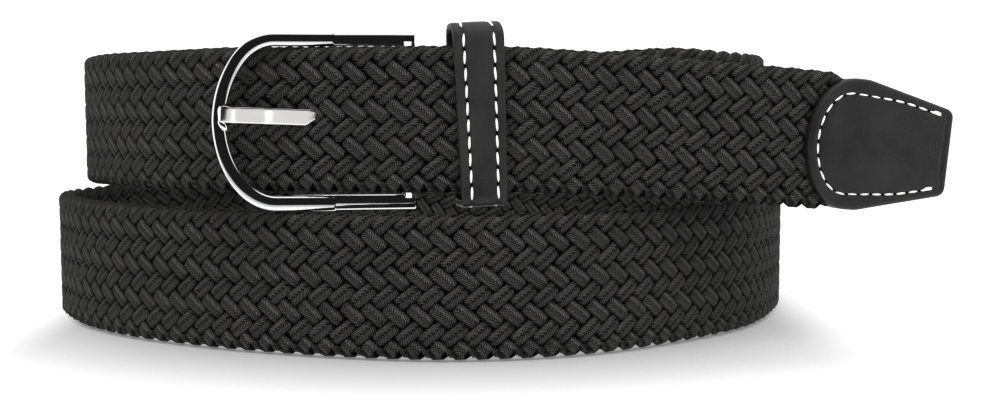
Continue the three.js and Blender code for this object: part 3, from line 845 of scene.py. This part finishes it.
def buckleFrame():
    armHeight = buckle["insideHeight"] / 2
    innerDepth = buckle["archDepth"] - buckle["rodWidth"]
    armEnd = archReach - buckle["archDepth"] + buckle["rodWidth"] / 2
    bend = np.radians(np.linspace(90, 270, 400))
    inner = np.array([
        (buckle["armOverhang"], armHeight),
        *np.stack((-armEnd + innerDepth * np.cos(bend), armHeight * np.sin(bend)), -1),
        (buckle["armOverhang"], -armHeight),
    ])
    travelled = lengthsAlong(inner)
    share = np.unique(np.concatenate([
        np.linspace(0, 1, buckle["stations"]),
        *[(reach / 2, 1 - reach / 2) for reach, *others in buckle["rod"]],
    ]))
    at = share * travelled[-1]
    path = rowsAt(at, travelled, inner)
    tangent = unitRows(np.gradient(path, at, axis=0))
    outward = np.stack((tangent[:, 1], np.zeros(len(share)), -tangent[:, 0]), -1)
    reach = 1 - np.abs(2 * share - 1)
    widths, depths = tableAt(buckle["rod"], reach)
    lean, slimmer = tableAt(buckle["upperArm"], np.where(share < 0.5, reach, 1.0))
    halfWidth = widths * slimmer * buckle["rodWidth"] / 2
    halfWidth *= 1 + (buckle["lowerArm"] - 1) * smoothStep(share, *buckle["heavierFrom"])
    halfDepth = depths * buckle["rodDepth"] / 2
    centre = np.stack((path[:, 0], np.zeros(len(share)), path[:, 1]), -1)
    centre += outward * (halfWidth - lean * mm)[:, None]
    through = np.tile((0.0, -1.0, 0.0), (len(share), 1))
    squareness = padded(np.stack(tableAt(buckle["squareness"], reach), -1))
    sections = np.array([ovalSection(buckle["sides"], *powers) for powers in squareness])
    bm = sweepStrip(centre, outward, through, sections, buckle["endRadius"], halfWidth, halfDepth)
    bmesh.ops.create_cone(
        bm, cap_ends=True, segments=24, radius1=buckle["barRadius"], radius2=buckle["barRadius"],
        depth=2 * armHeight + buckle["barRadius"],
    )
    bmesh.ops.transform(bm, matrix=placeBuckle, verts=bm.verts)
    meshPiece("frame_arch", bm, frameFinish, "buckle_frame")


prong = {
    "width": 3.7 * mm,
    "thickness": 1.8 * mm,
    "eyeWall": 1.0 * mm,
    "eyeStart": -2.0 * mm,       # from the bar
    "eyeTurn": (-80, 190),       # degrees round the bar
    "leftEnd": 0.30 * mm,        # from the arch's middle
    "shankRows": 44,             # its rows from the arch to the entry, and between which shares of the way
    "shankShares": (0.05, 0.96),
    # along its face from its left end, and how far its face leans down there, in degrees
    "leans": [
        (0.0, 3.2), (2.6, 3.8), (3.6, 10.5), (4.3, 17.0), (5.0, 17.0), (5.7, 10.5), (11.2, 10.0),
        (12.2, 17.0), (13.2, 17.0), (14.0, 11.5), (40.0, 11.5),
    ],
    # its end round the arch, seen below it: from the left end, outward, up, in mm
    "knob": (0.85, -0.35, -2.55),
    "knobSize": (0.85, 0.75, 1.55),
    "knobTurn": -38,
    "skew": 2.0,                 # degrees up from the frame's middle
    "edge": 0.3 * mm,
    "corner": 0.14,              # rounding of its section, as a share of its half width and half thickness
    "entry": -20.3 * mm,         # from the bar, where it goes in between the cords
    # from the arch's middle, out from its back in half thicknesses and in mm, up, and shares of the
    # width and the thickness
    "start": [
        (0.30, 0.0, -0.7, -0.5, 0.55, 0.50), (0.35, 0.0, 0.1, -0.4, 0.66, 0.62),
        (0.80, 0.65, 0.0, -0.2, 0.82, 0.82), (0.75, 0.95, 0.0, 0.0, 0.96, 0.97),
        (1.70, 1.0, 0.0, 0.0, 1.0, 1.0),
    ],
    # from the entry, out of the strap's middle, the top and the bottom edge
    "going": [
        (-3.6, 3.20, 1.85, -1.85), (-2.5, 2.90, 1.85, -1.85), (-1.7, 2.66, 1.85, -1.35),
        (-0.9, 2.40, 1.75, -0.70), (-0.35, 2.05, 1.20, -0.25), (0.15, 1.45, 0.85, 0.0),
        (0.8, 0.65, 0.95, -0.30), (1.8, -0.10, 1.2, -0.9), (4.0, -1.10, 1.85, -1.85),
    ],
}


# Side on, the prong runs from its left end over the arch, in between the cords, to its eye round the bar
def buckleProng():
    back = buckle["rodDepth"] / 2 + belt["seatGap"]
    eye = buckle["barRadius"] + belt["seatGap"] + prong["eyeWall"]
    half, wide = prong["thickness"] / 2, prong["width"] / 2
    turn = placeBuckle @ Matrix.Rotation(math.radians(prong["skew"]), 4, "Y")
    level = turn.to_3x3() @ Vector((0, 0, 1))
    rise = math.tan(math.radians(prong["skew"]))

    def inPlace(x, y, z=0.0):
        return np.array(turn @ Vector((x, y, z)))

    # centre, half the width, half the thickness
    rows = []
    for along, halves, outward, above, widthShare, share in prong["start"]:
        centre = inPlace(-archReach + along * mm, -back - half * halves - outward * mm, above * mm)
        rows.append((centre, wide * widthShare, half * share))
    startRows = len(rows)
    going = []
    for along, out, top, bottom in prong["going"]:
        fromBar = prong["entry"] + along * mm
        height = -fromBar * rise + (top + bottom) / 2 * mm
        centre = onLine(frontLine, barDistance + fromBar, -(out * mm - half), height)
        going.append((centre, (top - bottom) / 2 * mm, half))
    shankStart, shankEnd = rows[-1][0], going[0][0]
    shares = np.linspace(*prong["shankShares"], prong["shankRows"])
    rows += [(shankStart + (shankEnd - shankStart) * share, wide, half) for share in shares]
    rows += going
    last, eyeStart = going[-1][0], inPlace(prong["eyeStart"], -eye + half * 0.9)
    rows += [(last + (eyeStart - last) * share, wide, half) for share in np.linspace(0.2, 1.0, 5)]
    ringMiddle = eye - prong["eyeWall"] / 2
    for angle in np.radians(np.linspace(*prong["eyeTurn"], 18)):
        onRing = inPlace(ringMiddle * math.cos(angle), ringMiddle * math.sin(angle))
        rows.append((onRing, wide, prong["eyeWall"] / 2))
    centre, widths, depths = (np.array(column) for column in zip(*rows))
    level = np.tile(np.array(level), (len(rows), 1))
    front = unitRows(np.cross(level, unitRows(np.gradient(centre, axis=0))))
    lastShank = startRows + prong["shankRows"]
    flatter = 1 - smoothStep(np.arange(len(rows)), lastShank, lastShank + 7)
    leans, = tableAt(prong["leans"], lengthsAlong(centre) / mm)
    roll = (np.radians(leans) * flatter)[:, None]
    across = level * np.cos(roll) - front * np.sin(roll)
    through = front * np.cos(roll) + level * np.sin(roll)
    section = roundedSection(1.0, 1.0, prong["corner"], 4, 6, 2)
    bm = sweepStrip(centre, across, through, section, prong["edge"], widths, depths)
    x, y, z = (value * mm for value in prong["knob"])
    spot = turn @ Matrix.Translation((-archReach + prong["leftEnd"] + x, -back + y, z))
    spot = spot @ Matrix.Rotation(math.radians(prong["knobTurn"]), 4, "Y")
    size = Matrix.Diagonal((*[value * mm for value in prong["knobSize"]], 1))
    bmesh.ops.create_uvsphere(bm, u_segments=24, v_segments=16, radius=1.0, matrix=spot @ size)
    meshPiece("prong_bar", bm, prongFinish, "buckle_prong")


buckleFrame()
buckleProng()
print("buckle built")

# Stitches, each a short round-ended length of thread, or the dark beads of painted shade at the holes
# between them
def addStitches(name, places, length, width, height, node, finish=threadFinish):
    bm = bmesh.new()
    for point, along, out in places:
        made = bmesh.ops.create_uvsphere(bm, u_segments=8, v_segments=6, radius=0.5)["verts"]
        along = Vector(along).normalized()
        out = (Vector(out) - along * along.dot(Vector(out))).normalized()
        side = out.cross(along)
        turn = Matrix((side * width, out * height, along * length)).transposed().to_4x4()
        bmesh.ops.transform(bm, matrix=Matrix.Translation(point) @ turn, verts=made)
    bmesh.ops.recalc_face_normals(bm, faces=bm.faces)
    meshPiece(name, bm, finish, node)


# The needle holes, between one stitch and the next of a row: near-black beads, a painted shade where the
# thread goes into the leather
def addHoleShades(name, places, size, node):
    between = []
    for (point, _, out), (nextPoint, *_) in zip(places, places[1:]):
        # further apart they are in different rows, and nearer they share a hole
        if 1.5 * mm < np.linalg.norm(nextPoint - point) < 5 * mm:
            between.append(((point + nextPoint) / 2, nextPoint - point, out))
    addStitches(name, between, *size, node, holeShadeFinish)


keeper = {
    "fromBar": 17.3 * mm,
    "width": 10.6 * mm,
    "leather": 1.6 * mm,
    "headroom": 3.6 * mm,
    "footroom": 0.9 * mm,
    "corner": 4.2 * mm,
    "foot": 2.6 * mm,
    "lean": 0.045,
    "skew": 0.2,
    "tilt": 0.05,
    "edge": 0.5 * mm,
    "stitchAt": 3.14 * mm,         # from the middle of its width
    "stitchPitch": 3.85 * mm,
    "stitchLength": 3.1 * mm,
    "stitchWidth": 0.62 * mm,
    "slant": 0.06,                 # of a stitch
    "groove": 0.28 * mm,
    "pull": 0.9,                   # more of the groove at the needle holes
    "grooveReach": 0.42 * mm,
    "cellsPerStitch": 6,
    "hole": (0.95 * mm, 0.5 * mm, 0.62 * mm),
}


# Directions along a closed line whose last point is its first
def ringTangent(ring):
    tangent = unitRows(np.roll(ring[:-1], -1, 0) - np.roll(ring[:-1], 1, 0))
    return np.array([*tangent, tangent[0]])


# The keeper's middle line, from the foot's middle round: inward, rise and the way out of the ring
def keeperRing():
    half = keeper["leather"] / 2
    left = -belt["thickness"] / 2 - belt["seatGap"] - half
    right = frontFace + 2 * belt["leather"] + 2 * belt["seatGap"] + half
    low = -belt["width"] / 2 - keeper["footroom"] - half
    high = belt["width"] / 2 + keeper["headroom"] + half
    corner, foot = keeper["corner"] - half, keeper["foot"] - half
    points = []
    for cx, cy, radius, start in (
        (right - foot, low + foot, foot, -90), (right - corner, high - corner, corner, 0),
        (left + corner, high - corner, corner, 90), (left + foot, low + foot, foot, 180),
    ):
        for angle in np.radians(np.linspace(start, start + 90, 24)):
            points.append((cx + radius * math.cos(angle), cy + radius * math.sin(angle)))
    points = np.array([*points, points[0]])
    travelled = lengthsAlong(points)
    stitches = round(travelled[-1] / keeper["stitchPitch"])
    cells = stitches * keeper["cellsPerStitch"]
    ring = rowsAt(np.linspace(0, travelled[-1], cells + 1), travelled, points)
    tangent = ringTangent(ring)
    return ring, tangent, np.stack((tangent[:, 1], -tangent[:, 0]), -1)


def onKeeper(inward, rise, across):
    along = keeper["fromBar"] + across - keeper["skew"] * inward - keeper["lean"] * rise
    return onLine(frontLine, barDistance + along, inward, rise + keeper["tilt"] * across)


def keeperLoop():
    ring, tangent, outward = keeperRing()
    half = keeper["leather"] / 2
    section = roundedSection(keeper["width"] / 2, half, keeper["edge"], 4, 34, 3)
    fromStitch = np.abs(np.abs(section[:, 0]) - keeper["stitchAt"])
    onFace = section[:, 1] > half * 0.9
    groove = keeper["groove"] * np.exp(-(fromStitch / keeper["grooveReach"]) ** 2) * onFace
    bm = unitSheet(len(ring) - 1, len(section) - 1)

    def roll(places):
        i, k = cellsOf(places, len(ring) - 1, len(section) - 1)
        between = (i % keeper["cellsPerStitch"] == 0) * keeper["pull"]
        through = section[k, 1] - groove[k] * (1 + between)
        inward = ring[i, 0] + outward[i, 0] * through
        rise = ring[i, 1] + outward[i, 1] * through
        return onKeeper(inward, rise, section[k, 0])

    moveVerts(bm, roll)
    closeSeams(bm)
    meshPiece("keeper_leather", bm, leatherFinish, "keeper_loop")

    places = []
    middles = np.arange(keeper["cellsPerStitch"] // 2, len(ring) - 1, keeper["cellsPerStitch"])
    raised = half - keeper["groove"] * 0.55

    def stitchAt(side, offset, lift):
        spot = ring[middles] + tangent[middles] * offset + outward[middles] * lift
        across = side * (keeper["stitchAt"] + keeper["slant"] * offset)
        return onKeeper(*spot.T, np.full(len(middles), across))

    for side in (-1, 1):
        point = stitchAt(side, 0, raised)
        ahead, above = stitchAt(side, 0.5 * mm, raised), stitchAt(side, 0, raised + 0.5 * mm)
        places += list(zip(point, ahead - point, above - point))
    thread = (keeper["stitchLength"], keeper["stitchWidth"], 0.5 * mm)
    addStitches("keeper_stitching", places, *thread, "keeper_loop")
    addHoleShades("keeper_hole_shade", places, keeper["hole"], "keeper_loop")


keeperLoop()
print("keeper built")

tip = {
    "thickness": pocketGap + 2 * belt["leather"],
    "endCorner": 1.1 * mm,
    "lap": 0.5 * mm,               # of the soft rim over the braid, past the solid's mouth
    "shorter": 0.5 * mm,
    "endHeight": 21.9 * mm,
    "sag": (-0.4 * mm, 0.1 * mm),  # of its mouth and its end
    "shoulder": 1.3 * mm,          # softened length of the outline's bends
    "rim": 1.1 * mm,
    "spine": (13.5 * mm, 31 * mm),
    # least, more at the shoulders, their place and reach
    "stitchInset": (2.3 * mm, 1.7 * mm, 13 * mm, 8.5 * mm),
    "stitchPitch": 3.45 * mm,
    "stitchLength": 2.65 * mm,
    "stitchWidth": 0.54 * mm,
    "stitchesEnd": 4.5 * mm,       # before its end
    "hole": (0.9 * mm, 0.5 * mm, 0.5 * mm),
    "groove": 0.22 * mm,
    "grooveReach": 0.32 * mm,
    "swell": 0.2 * mm,             # over the end of the braid
    "cell": 0.6 * mm,
}


def tipOutline():
    half, endHalf = tipSize["baseHeight"] / 2, tip["endHeight"] / 2
    arch, lap, end = tipSize["arch"], tip["lap"], tipSize["length"] - tip["shorter"]
    arc = np.radians(np.linspace(180, 270, 80))
    corner = tip["endCorner"]
    lower = [
        *np.stack((arch + (arch + lap) * np.cos(arc), half * np.sin(arc)), -1),
        (arch + tipSize["straight"], -half), (end - corner, -endHalf - 0.1 * mm), (end, -endHalf + corner),
    ]
    rows = np.array([*lower, *[(x, -y) for x, y in lower[::-1]]])       # the upper half mirrors the lower
    travelled = lengthsAlong(rows)
    cells = 2 * round(travelled[-1] / tip["cell"] / 2)
    points = rowsAt(np.linspace(0, travelled[-1], cells + 1)[:-1], travelled, rows)
    for _ in range(round(tip["shoulder"] / tip["cell"])):
        points = (np.roll(points, 1, 0) + 2 * points + np.roll(points, -1, 0)) / 4
    points = np.array([*points, points[0]])
    tangent = ringTangent(points)
    outward = np.stack((tangent[:, 1], -tangent[:, 0]), -1)
    toSpine = np.stack((np.clip(points[:, 0], *tip["spine"]), np.zeros(cells + 1)), -1) - points
    reach = np.linalg.norm(toSpine, axis=1)
    toSpine /= reach[:, None]
    return points, toSpine, reach, np.clip(-(toSpine * outward).sum(1), 0.3, 1)


def onTip(plan, out):
    share = plan[..., 0] / tipSize["length"]
    sag = tip["sag"][0] * (1 - share) + tip["sag"][1] * share
    return onLine(strapLine, tipMouth + plan[..., 0], -out, plan[..., 1] + sag)


def tipCap():
    points, toSpine, reach, slant = tipOutline()
    half = tip["thickness"] / 2
    rim = tip["rim"]
    least, more, place, spread = tip["stitchInset"]
    stitch = (least + more * np.exp(-((points[:, 0] - place) / spread) ** 2)) / slant
    # from the stitch line or from the outline, inset, share of the way to the spine, height over the middle
    levels = [(1, 1.5 * mm, share, half) for share in (1.0, 0.85, 0.7, 0.5, 0.3, 0.12, 0.0)]
    levels += [(1, extra, 0.0, half) for extra in (0.9 * mm, 0.5 * mm, 0.2 * mm, 0.0, -0.2 * mm, -0.5 * mm)]
    for angle in np.radians((90, 70, 50, 32, 15, 0)):
        levels.append((0, rim * (1 - math.cos(angle)), 0.0, half - rim + rim * math.sin(angle)))
    levels += [(fromStitch, inset, share, -height) for fromStitch, inset, share, height in levels[::-1]]
    levels = np.array(levels)
    bm = unitSheet(len(points) - 1, len(levels) - 1)

    def roll(places):
        i, k = cellsOf(places, len(points) - 1, len(levels) - 1)
        fromStitch, inset, share, height = levels[k].T
        travel = np.minimum(stitch[i] * fromStitch + inset / slant[i], reach[i] * 0.92)
        travel = travel + (reach[i] - travel) * share
        plan = points[i] + toSpine[i] * travel[:, None]
        dip = tip["groove"] * np.exp(-(inset / tip["grooveReach"]) ** 2) * (share == 0) * fromStitch
        overBraid = smoothStep(travel, 2.5 * mm, 5 * mm) * (1 - smoothStep(plan[:, 0], 14 * mm, 24 * mm))
        return onTip(plan, np.sign(height) * (np.abs(height) - dip + tip["swell"] * overBraid))

    moveVerts(bm, roll)
    closeSeams(bm)
    meshPiece("tip_leather", bm, leatherFinish, "tip_cap")

    path = points + toSpine * np.minimum(stitch, reach)[:, None]
    order = np.roll(path[:-1], -np.argmax(path[:-1, 0]), 0)
    order = order[order[:, 0] < tipSize["length"] - tip["stitchesEnd"]]
    travelled = lengthsAlong(order)
    count = int(travelled[-1] / tip["stitchPitch"])
    at = (np.arange(count) + 0.5) * travelled[-1] / count
    at = np.array([0.9 * mm, *at, travelled[-1] - 0.9 * mm])            # the ends are sewn twice
    places, doubled = [], []
    for side in (-1, 1):
        lift = side * (half - tip["groove"] * 0.6)
        spot = [rowsAt(at + ahead, travelled, order) for ahead in (-0.4 * mm, 0.4 * mm)]
        before, after = (onTip(plan, np.full(len(at), lift)) for plan in spot)
        point, ahead = (before + after) / 2, after - before
        above = onTip((spot[0] + spot[1]) / 2, np.full(len(at), lift + side * 0.4 * mm)) - point
        places += list(zip(point, ahead, above))
        beside = unitRows(np.cross(ahead, above)) * 0.42 * mm
        for end, away in ((0, 1), (-1, -1)):
            doubled.append((point[end] + away * beside[end], ahead[end], above[end]))
    thread = (tip["stitchLength"], tip["stitchWidth"], 0.45 * mm)
    addStitches("tip_stitching", places + doubled, *thread, "tip_cap")
    addHoleShades("tip_hole_shade", places, tip["hole"], "tip_cap")


tipCap()
print("tip built")

tab = {
    "edge": 0.4 * mm,
    # share of the way from the bar to the pocket's mouth, and how far the two layers are apart there
    "spread": [(0.0, 1.0), (0.10, 0.62), (0.20, 0.30), (0.28, 0.10), (0.36, 0.0)],
    "slot": (7.4 * mm, 9 * mm, 4.4 * mm),
    "stitchBox": (30.6 * mm, 42.7 * mm, 14.4 * mm),     # nearest and farthest from the bar, half the height
    "stitchPitch": 3.1 * mm,
    "stitchLength": 2.3 * mm,
    "stitchWidth": 0.6 * mm,
}


# Leather folded round the bar: its middle line as seen from above, along the strap and inward
def tabLine():
    leather = belt["leather"]
    inside = buckle["barRadius"] + belt["seatGap"]
    front = frontFace + leather / 2
    radius = inside + leather / 2
    beforePocket = np.linspace(0, pocketStart - tabSize["closing"], 26)
    alongs = np.concatenate([beforePocket, np.linspace(pocketStart, tabSize["length"], 14)])
    spread, = tableAt(tab["spread"], alongs / pocketStart)
    gap = belt["seatGap"] + spread * (2 * inside - belt["seatGap"])
    gap = np.where(alongs >= pocketStart, pocketGap, gap)
    bend = np.radians(np.linspace(0, 180, 15))[1:-1]
    return np.array([
        *[(along, front) for along in alongs[::-1]],
        *np.stack((-radius * np.sin(bend), barInset - radius * np.cos(bend)), -1),
        *np.stack((alongs, front + leather + gap), -1),
    ])


def onTab(plan, height):
    return onLine(frontLine, barDistance + plan[..., 0], plan[..., 1], height)


def buckleTab():
    line = tabLine()
    tangent = unitRows(np.gradient(line, axis=0))
    halfHeight, half = belt["width"] / 2 - tabSize["margin"], belt["leather"] / 2
    flat = np.column_stack((line, np.zeros(len(line))))
    sideways = np.tile(up, (len(line), 1))
    out = np.column_stack((tangent[:, 1], -tangent[:, 0], np.zeros(len(line))))
    section = roundedSection(halfHeight, half, tab["edge"], 4, 20, 2) / (halfHeight, half)
    halves = (np.full(len(line), value) for value in (halfHeight, half))
    bm = sweepStrip(flat, sideways, out, section, tab["edge"], *halves)
    moveVerts(bm, lambda places: onTab(places[:, :2], places[:, 2]))
    thing = meshPiece("tab_leather", bm, leatherFinish, "buckle_tab")

    cutter = bmesh.new()
    turn = placeBuckle @ Matrix.Rotation(math.radians(prong["skew"]), 4, "Y")
    scale = Matrix.Diagonal((*tab["slot"], 1))
    bmesh.ops.create_cube(cutter, size=1, matrix=turn @ Matrix.Translation((-0.35 * mm, 0, 0)) @ scale)
    slotMesh = meshFrom(cutter, "eyeSlot")
    slot = addObject("eyeSlot", slotMesh)
    cut = thing.modifiers.new("slot", "BOOLEAN")
    cut.object = slot
    cut.solver = "EXACT"
    whole = thing.data
    thing.data = finishedMesh(thing)
    thing.modifiers.remove(cut)
    bpy.data.objects.remove(slot)
    bpy.data.meshes.remove(slotMesh)
    bpy.data.meshes.remove(whole)
    thing.data.name = "tab_leather"

    near, far, high = tab["stitchBox"]
    corners = np.array([(near, high), (far, high), (far, -high), (near, -high), (near, high)])
    back = line[(line[:, 1] > barInset + 0.4 * mm) | (line[:, 0] > pocketStart)]
    back = back[back[:, 1] > frontFace + belt["leather"] + pocketGap]
    places = []
    for (x0, y0), (x1, y1) in zip(corners, corners[1:]):
        span = math.hypot(x1 - x0, y1 - y0)
        count = round(span / tab["stitchPitch"])
        for share in (np.arange(count) + 0.5) / count:
            along, height = x0 + (x1 - x0) * share, y0 + (y1 - y0) * share
            inward = np.interp(along, back[:, 0], back[:, 1]) + half - 0.05 * mm
            point = onTab(np.array((along, inward)), height)
            ahead = onTab(np.array((along + (x1 - x0) / span * mm, inward)), height + (y1 - y0) / span * mm)
            above = onTab(np.array((along, inward + 0.5 * mm)), height)
            places.append((point, ahead - point, above - point))
    thread = (tab["stitchLength"], tab["stitchWidth"], 0.4 * mm)
    addStitches("tab_stitching", places, *thread, "buckle_tab")


buckleTab()
print("tab built")

# Floor, backdrop and soft light
stage = {
    "floorTone": 0.8,
    "floorSize": 6.0,
    "nearFloor": 1.12,          # the floor as the camera sees it, close to its middle and far from it
    "farFloor": 1.3,
    "fade": (0.13, 0.35),       # where it begins to change, and over how far
    # tones of the painted contact shadow on the floor, from the occlusion
    "paintedShadow": [(0.0, 0.0), (0.55, 0.465), (0.78, 0.714), (0.88, 0.893), (1.0, 1.0)],
    "shadowReach": 55 * mm,     # of the belt, over the floor
    "rightEnd": (80 * mm, 108 * mm),    # where the painted shadow fades out, along X
    "leftEnd": (104 * mm, 126 * mm),
    "backdrop": 1.3,
    "fill": 0.40,               # light from all round
    "dark": 0.012,              # of the room in front, as the chrome sees it
    "bright": 1.25,             # of the room's sides, top and back and of the table, as the chrome sees them
    # the directions between which each part of the room turns bright
    "sides": (0.80, 0.90),
    "top": (0.74, 0.86),
    "back": (-0.15, 0.20),
    "farTable": (0.20, 0.30),
    "nearTable": (0.42, 0.60),
    "lens": 43.29,
    "camera": (6.63 * mm, -350.5 * mm, 59.87 * mm),
    "pitch": 4.93,
}


def easeNode(tree, value, low, high):
    node = tree.nodes.new("ShaderNodeMapRange")
    node.interpolation_type = "SMOOTHSTEP"
    node.inputs["From Min"].default_value = low
    node.inputs["From Max"].default_value = high
    tree.links.new(value, node.inputs["Value"])
    return node.outputs["Result"]


def buildFloor():
    bm = bmesh.new()
    bmesh.ops.create_grid(bm, x_segments=1, y_segments=1, size=stage["floorSize"] / 2)
    mesh = meshFrom(bm, "floor")
    material = bpy.data.materials.new("paleFloor")
    material.use_nodes = True
    tree = material.node_tree
    tree.nodes.remove(tree.nodes["Principled BSDF"])
    diffuse = tree.nodes.new("ShaderNodeBsdfDiffuse")
    rays = tree.nodes.new("ShaderNodeLightPath")
    coords = tree.nodes.new("ShaderNodeTexCoord")
    away = tree.nodes.new("ShaderNodeVectorMath")
    away.operation = "LENGTH"
    tree.links.new(coords.outputs["Object"], away.inputs[0])
    near, fading = stage["fade"]
    far = mathNode(tree, "DIVIDE", minus(tree, away.outputs["Value"], near), fading, True)
    shown = mixColour(tree, far, (stage["nearFloor"],) * 3, (stage["farFloor"],) * 3)
    # For the camera the floor glows: a painted contact shadow from ambient occlusion round the belt, faded
    # out along X towards the ends
    shadowOcclusion = tree.nodes.new("ShaderNodeAmbientOcclusion")
    shadowOcclusion.samples = 16
    shadowOcclusion.inputs["Distance"].default_value = stage["shadowReach"]
    split = tree.nodes.new("ShaderNodeSeparateXYZ")
    tree.links.new(coords.outputs["Object"], split.inputs["Vector"])
    right = easeNode(tree, split.outputs["X"], *stage["rightEnd"])
    left = easeNode(tree, times(tree, split.outputs["X"], -1.0), *stage["leftEnd"])
    clear = mathNode(tree, "MAXIMUM", left, right)
    paintedShade = mixColour(tree, clear, rampNode(tree, shadowOcclusion.outputs["AO"], stage["paintedShadow"]), (1.0, 1.0, 1.0))
    shown = tinted(tree, shown, paintedShade)
    diffuse.inputs["Color"].default_value = (*[stage["floorTone"]] * 3, 1)
    glow = tree.nodes.new("ShaderNodeEmission")
    tree.links.new(shown, glow.inputs["Color"])
    either = tree.nodes.new("ShaderNodeMixShader")
    tree.links.new(rays.outputs["Is Camera Ray"], either.inputs["Fac"])
    tree.links.new(diffuse.outputs["BSDF"], either.inputs[1])
    tree.links.new(glow.outputs["Emission"], either.inputs[2])
    tree.links.new(either.outputs["Shader"], tree.nodes["Material Output"].inputs["Surface"])
    mesh.materials.append(material)
    floor = addObject("floor", mesh)
    floor.visible_glossy = False            # the chrome sees the room's own pale table instead


def buildRoom():
    world = bpy.data.worlds.new("studio")
    bpy.context.scene.world = world
    world.use_nodes = True
    tree = world.node_tree
    background = tree.nodes["Background"]
    coords = tree.nodes.new("ShaderNodeTexCoord")
    split = tree.nodes.new("ShaderNodeSeparateXYZ")
    tree.links.new(coords.outputs["Generated"], split.inputs["Vector"])

    sides = easeNode(tree, mathNode(tree, "ABSOLUTE", split.outputs["X"]), *stage["sides"])
    top = easeNode(tree, split.outputs["Z"], *stage["top"])
    back = easeNode(tree, split.outputs["Y"], *stage["back"])
    under = times(tree, split.outputs["Z"], -1.0)
    farTable = times(tree, easeNode(tree, under, *stage["farTable"]), 0.60)
    nearTable = times(tree, easeNode(tree, under, *stage["nearTable"]), 0.40)
    table = plus(tree, farTable, nearTable)
    lit = sides
    for region in (top, back, table):
        lit = mathNode(tree, "MAXIMUM", lit, region)
    mirrored = plus(tree, times(tree, lit, stage["bright"]), stage["dark"])
    rays = tree.nodes.new("ShaderNodeLightPath")
    strength = mixValue(tree, rays.outputs["Is Glossy Ray"], stage["fill"], mirrored)
    shown = mixValue(tree, rays.outputs["Is Camera Ray"], strength, stage["backdrop"])
    background.inputs["Color"].default_value = (1, 1, 1, 1)
    tree.links.new(shown, background.inputs["Strength"])


def addLamp(name, place, target, size, power):
    lamp = bpy.data.lights.new(name, "AREA")
    lamp.shape = "RECTANGLE"
    lamp.size, lamp.size_y = size
    lamp.energy = power
    thing = addObject(name, lamp)
    thing.location = place
    thing.rotation_euler = (Vector(target) - Vector(place)).to_track_quat("-Z", "Y").to_euler()
    thing.visible_glossy = False


buildFloor()
buildRoom()
bpy.context.scene.view_settings.view_transform = "Standard"
addLamp("overhead", (0.0, -0.45, 1.0), (0, 0, 0), (1.0, 0.5), 15)
addLamp("leftSoft", (-0.8, -0.9, 0.45), (0, 0, 0.04), (0.5, 0.5), 3)
addLamp("rightSoft", (0.8, -0.9, 0.7), (0, 0, 0.04), (0.5, 0.5), 6)

camera = bpy.data.cameras.new("photoView")
camera.sensor_width = 36
camera.lens = stage["lens"]
view = addObject("photoView", camera)
view.location = stage["camera"]
view.rotation_euler = (math.radians(90 - stage["pitch"]), 0, 0)
bpy.context.scene.camera = view
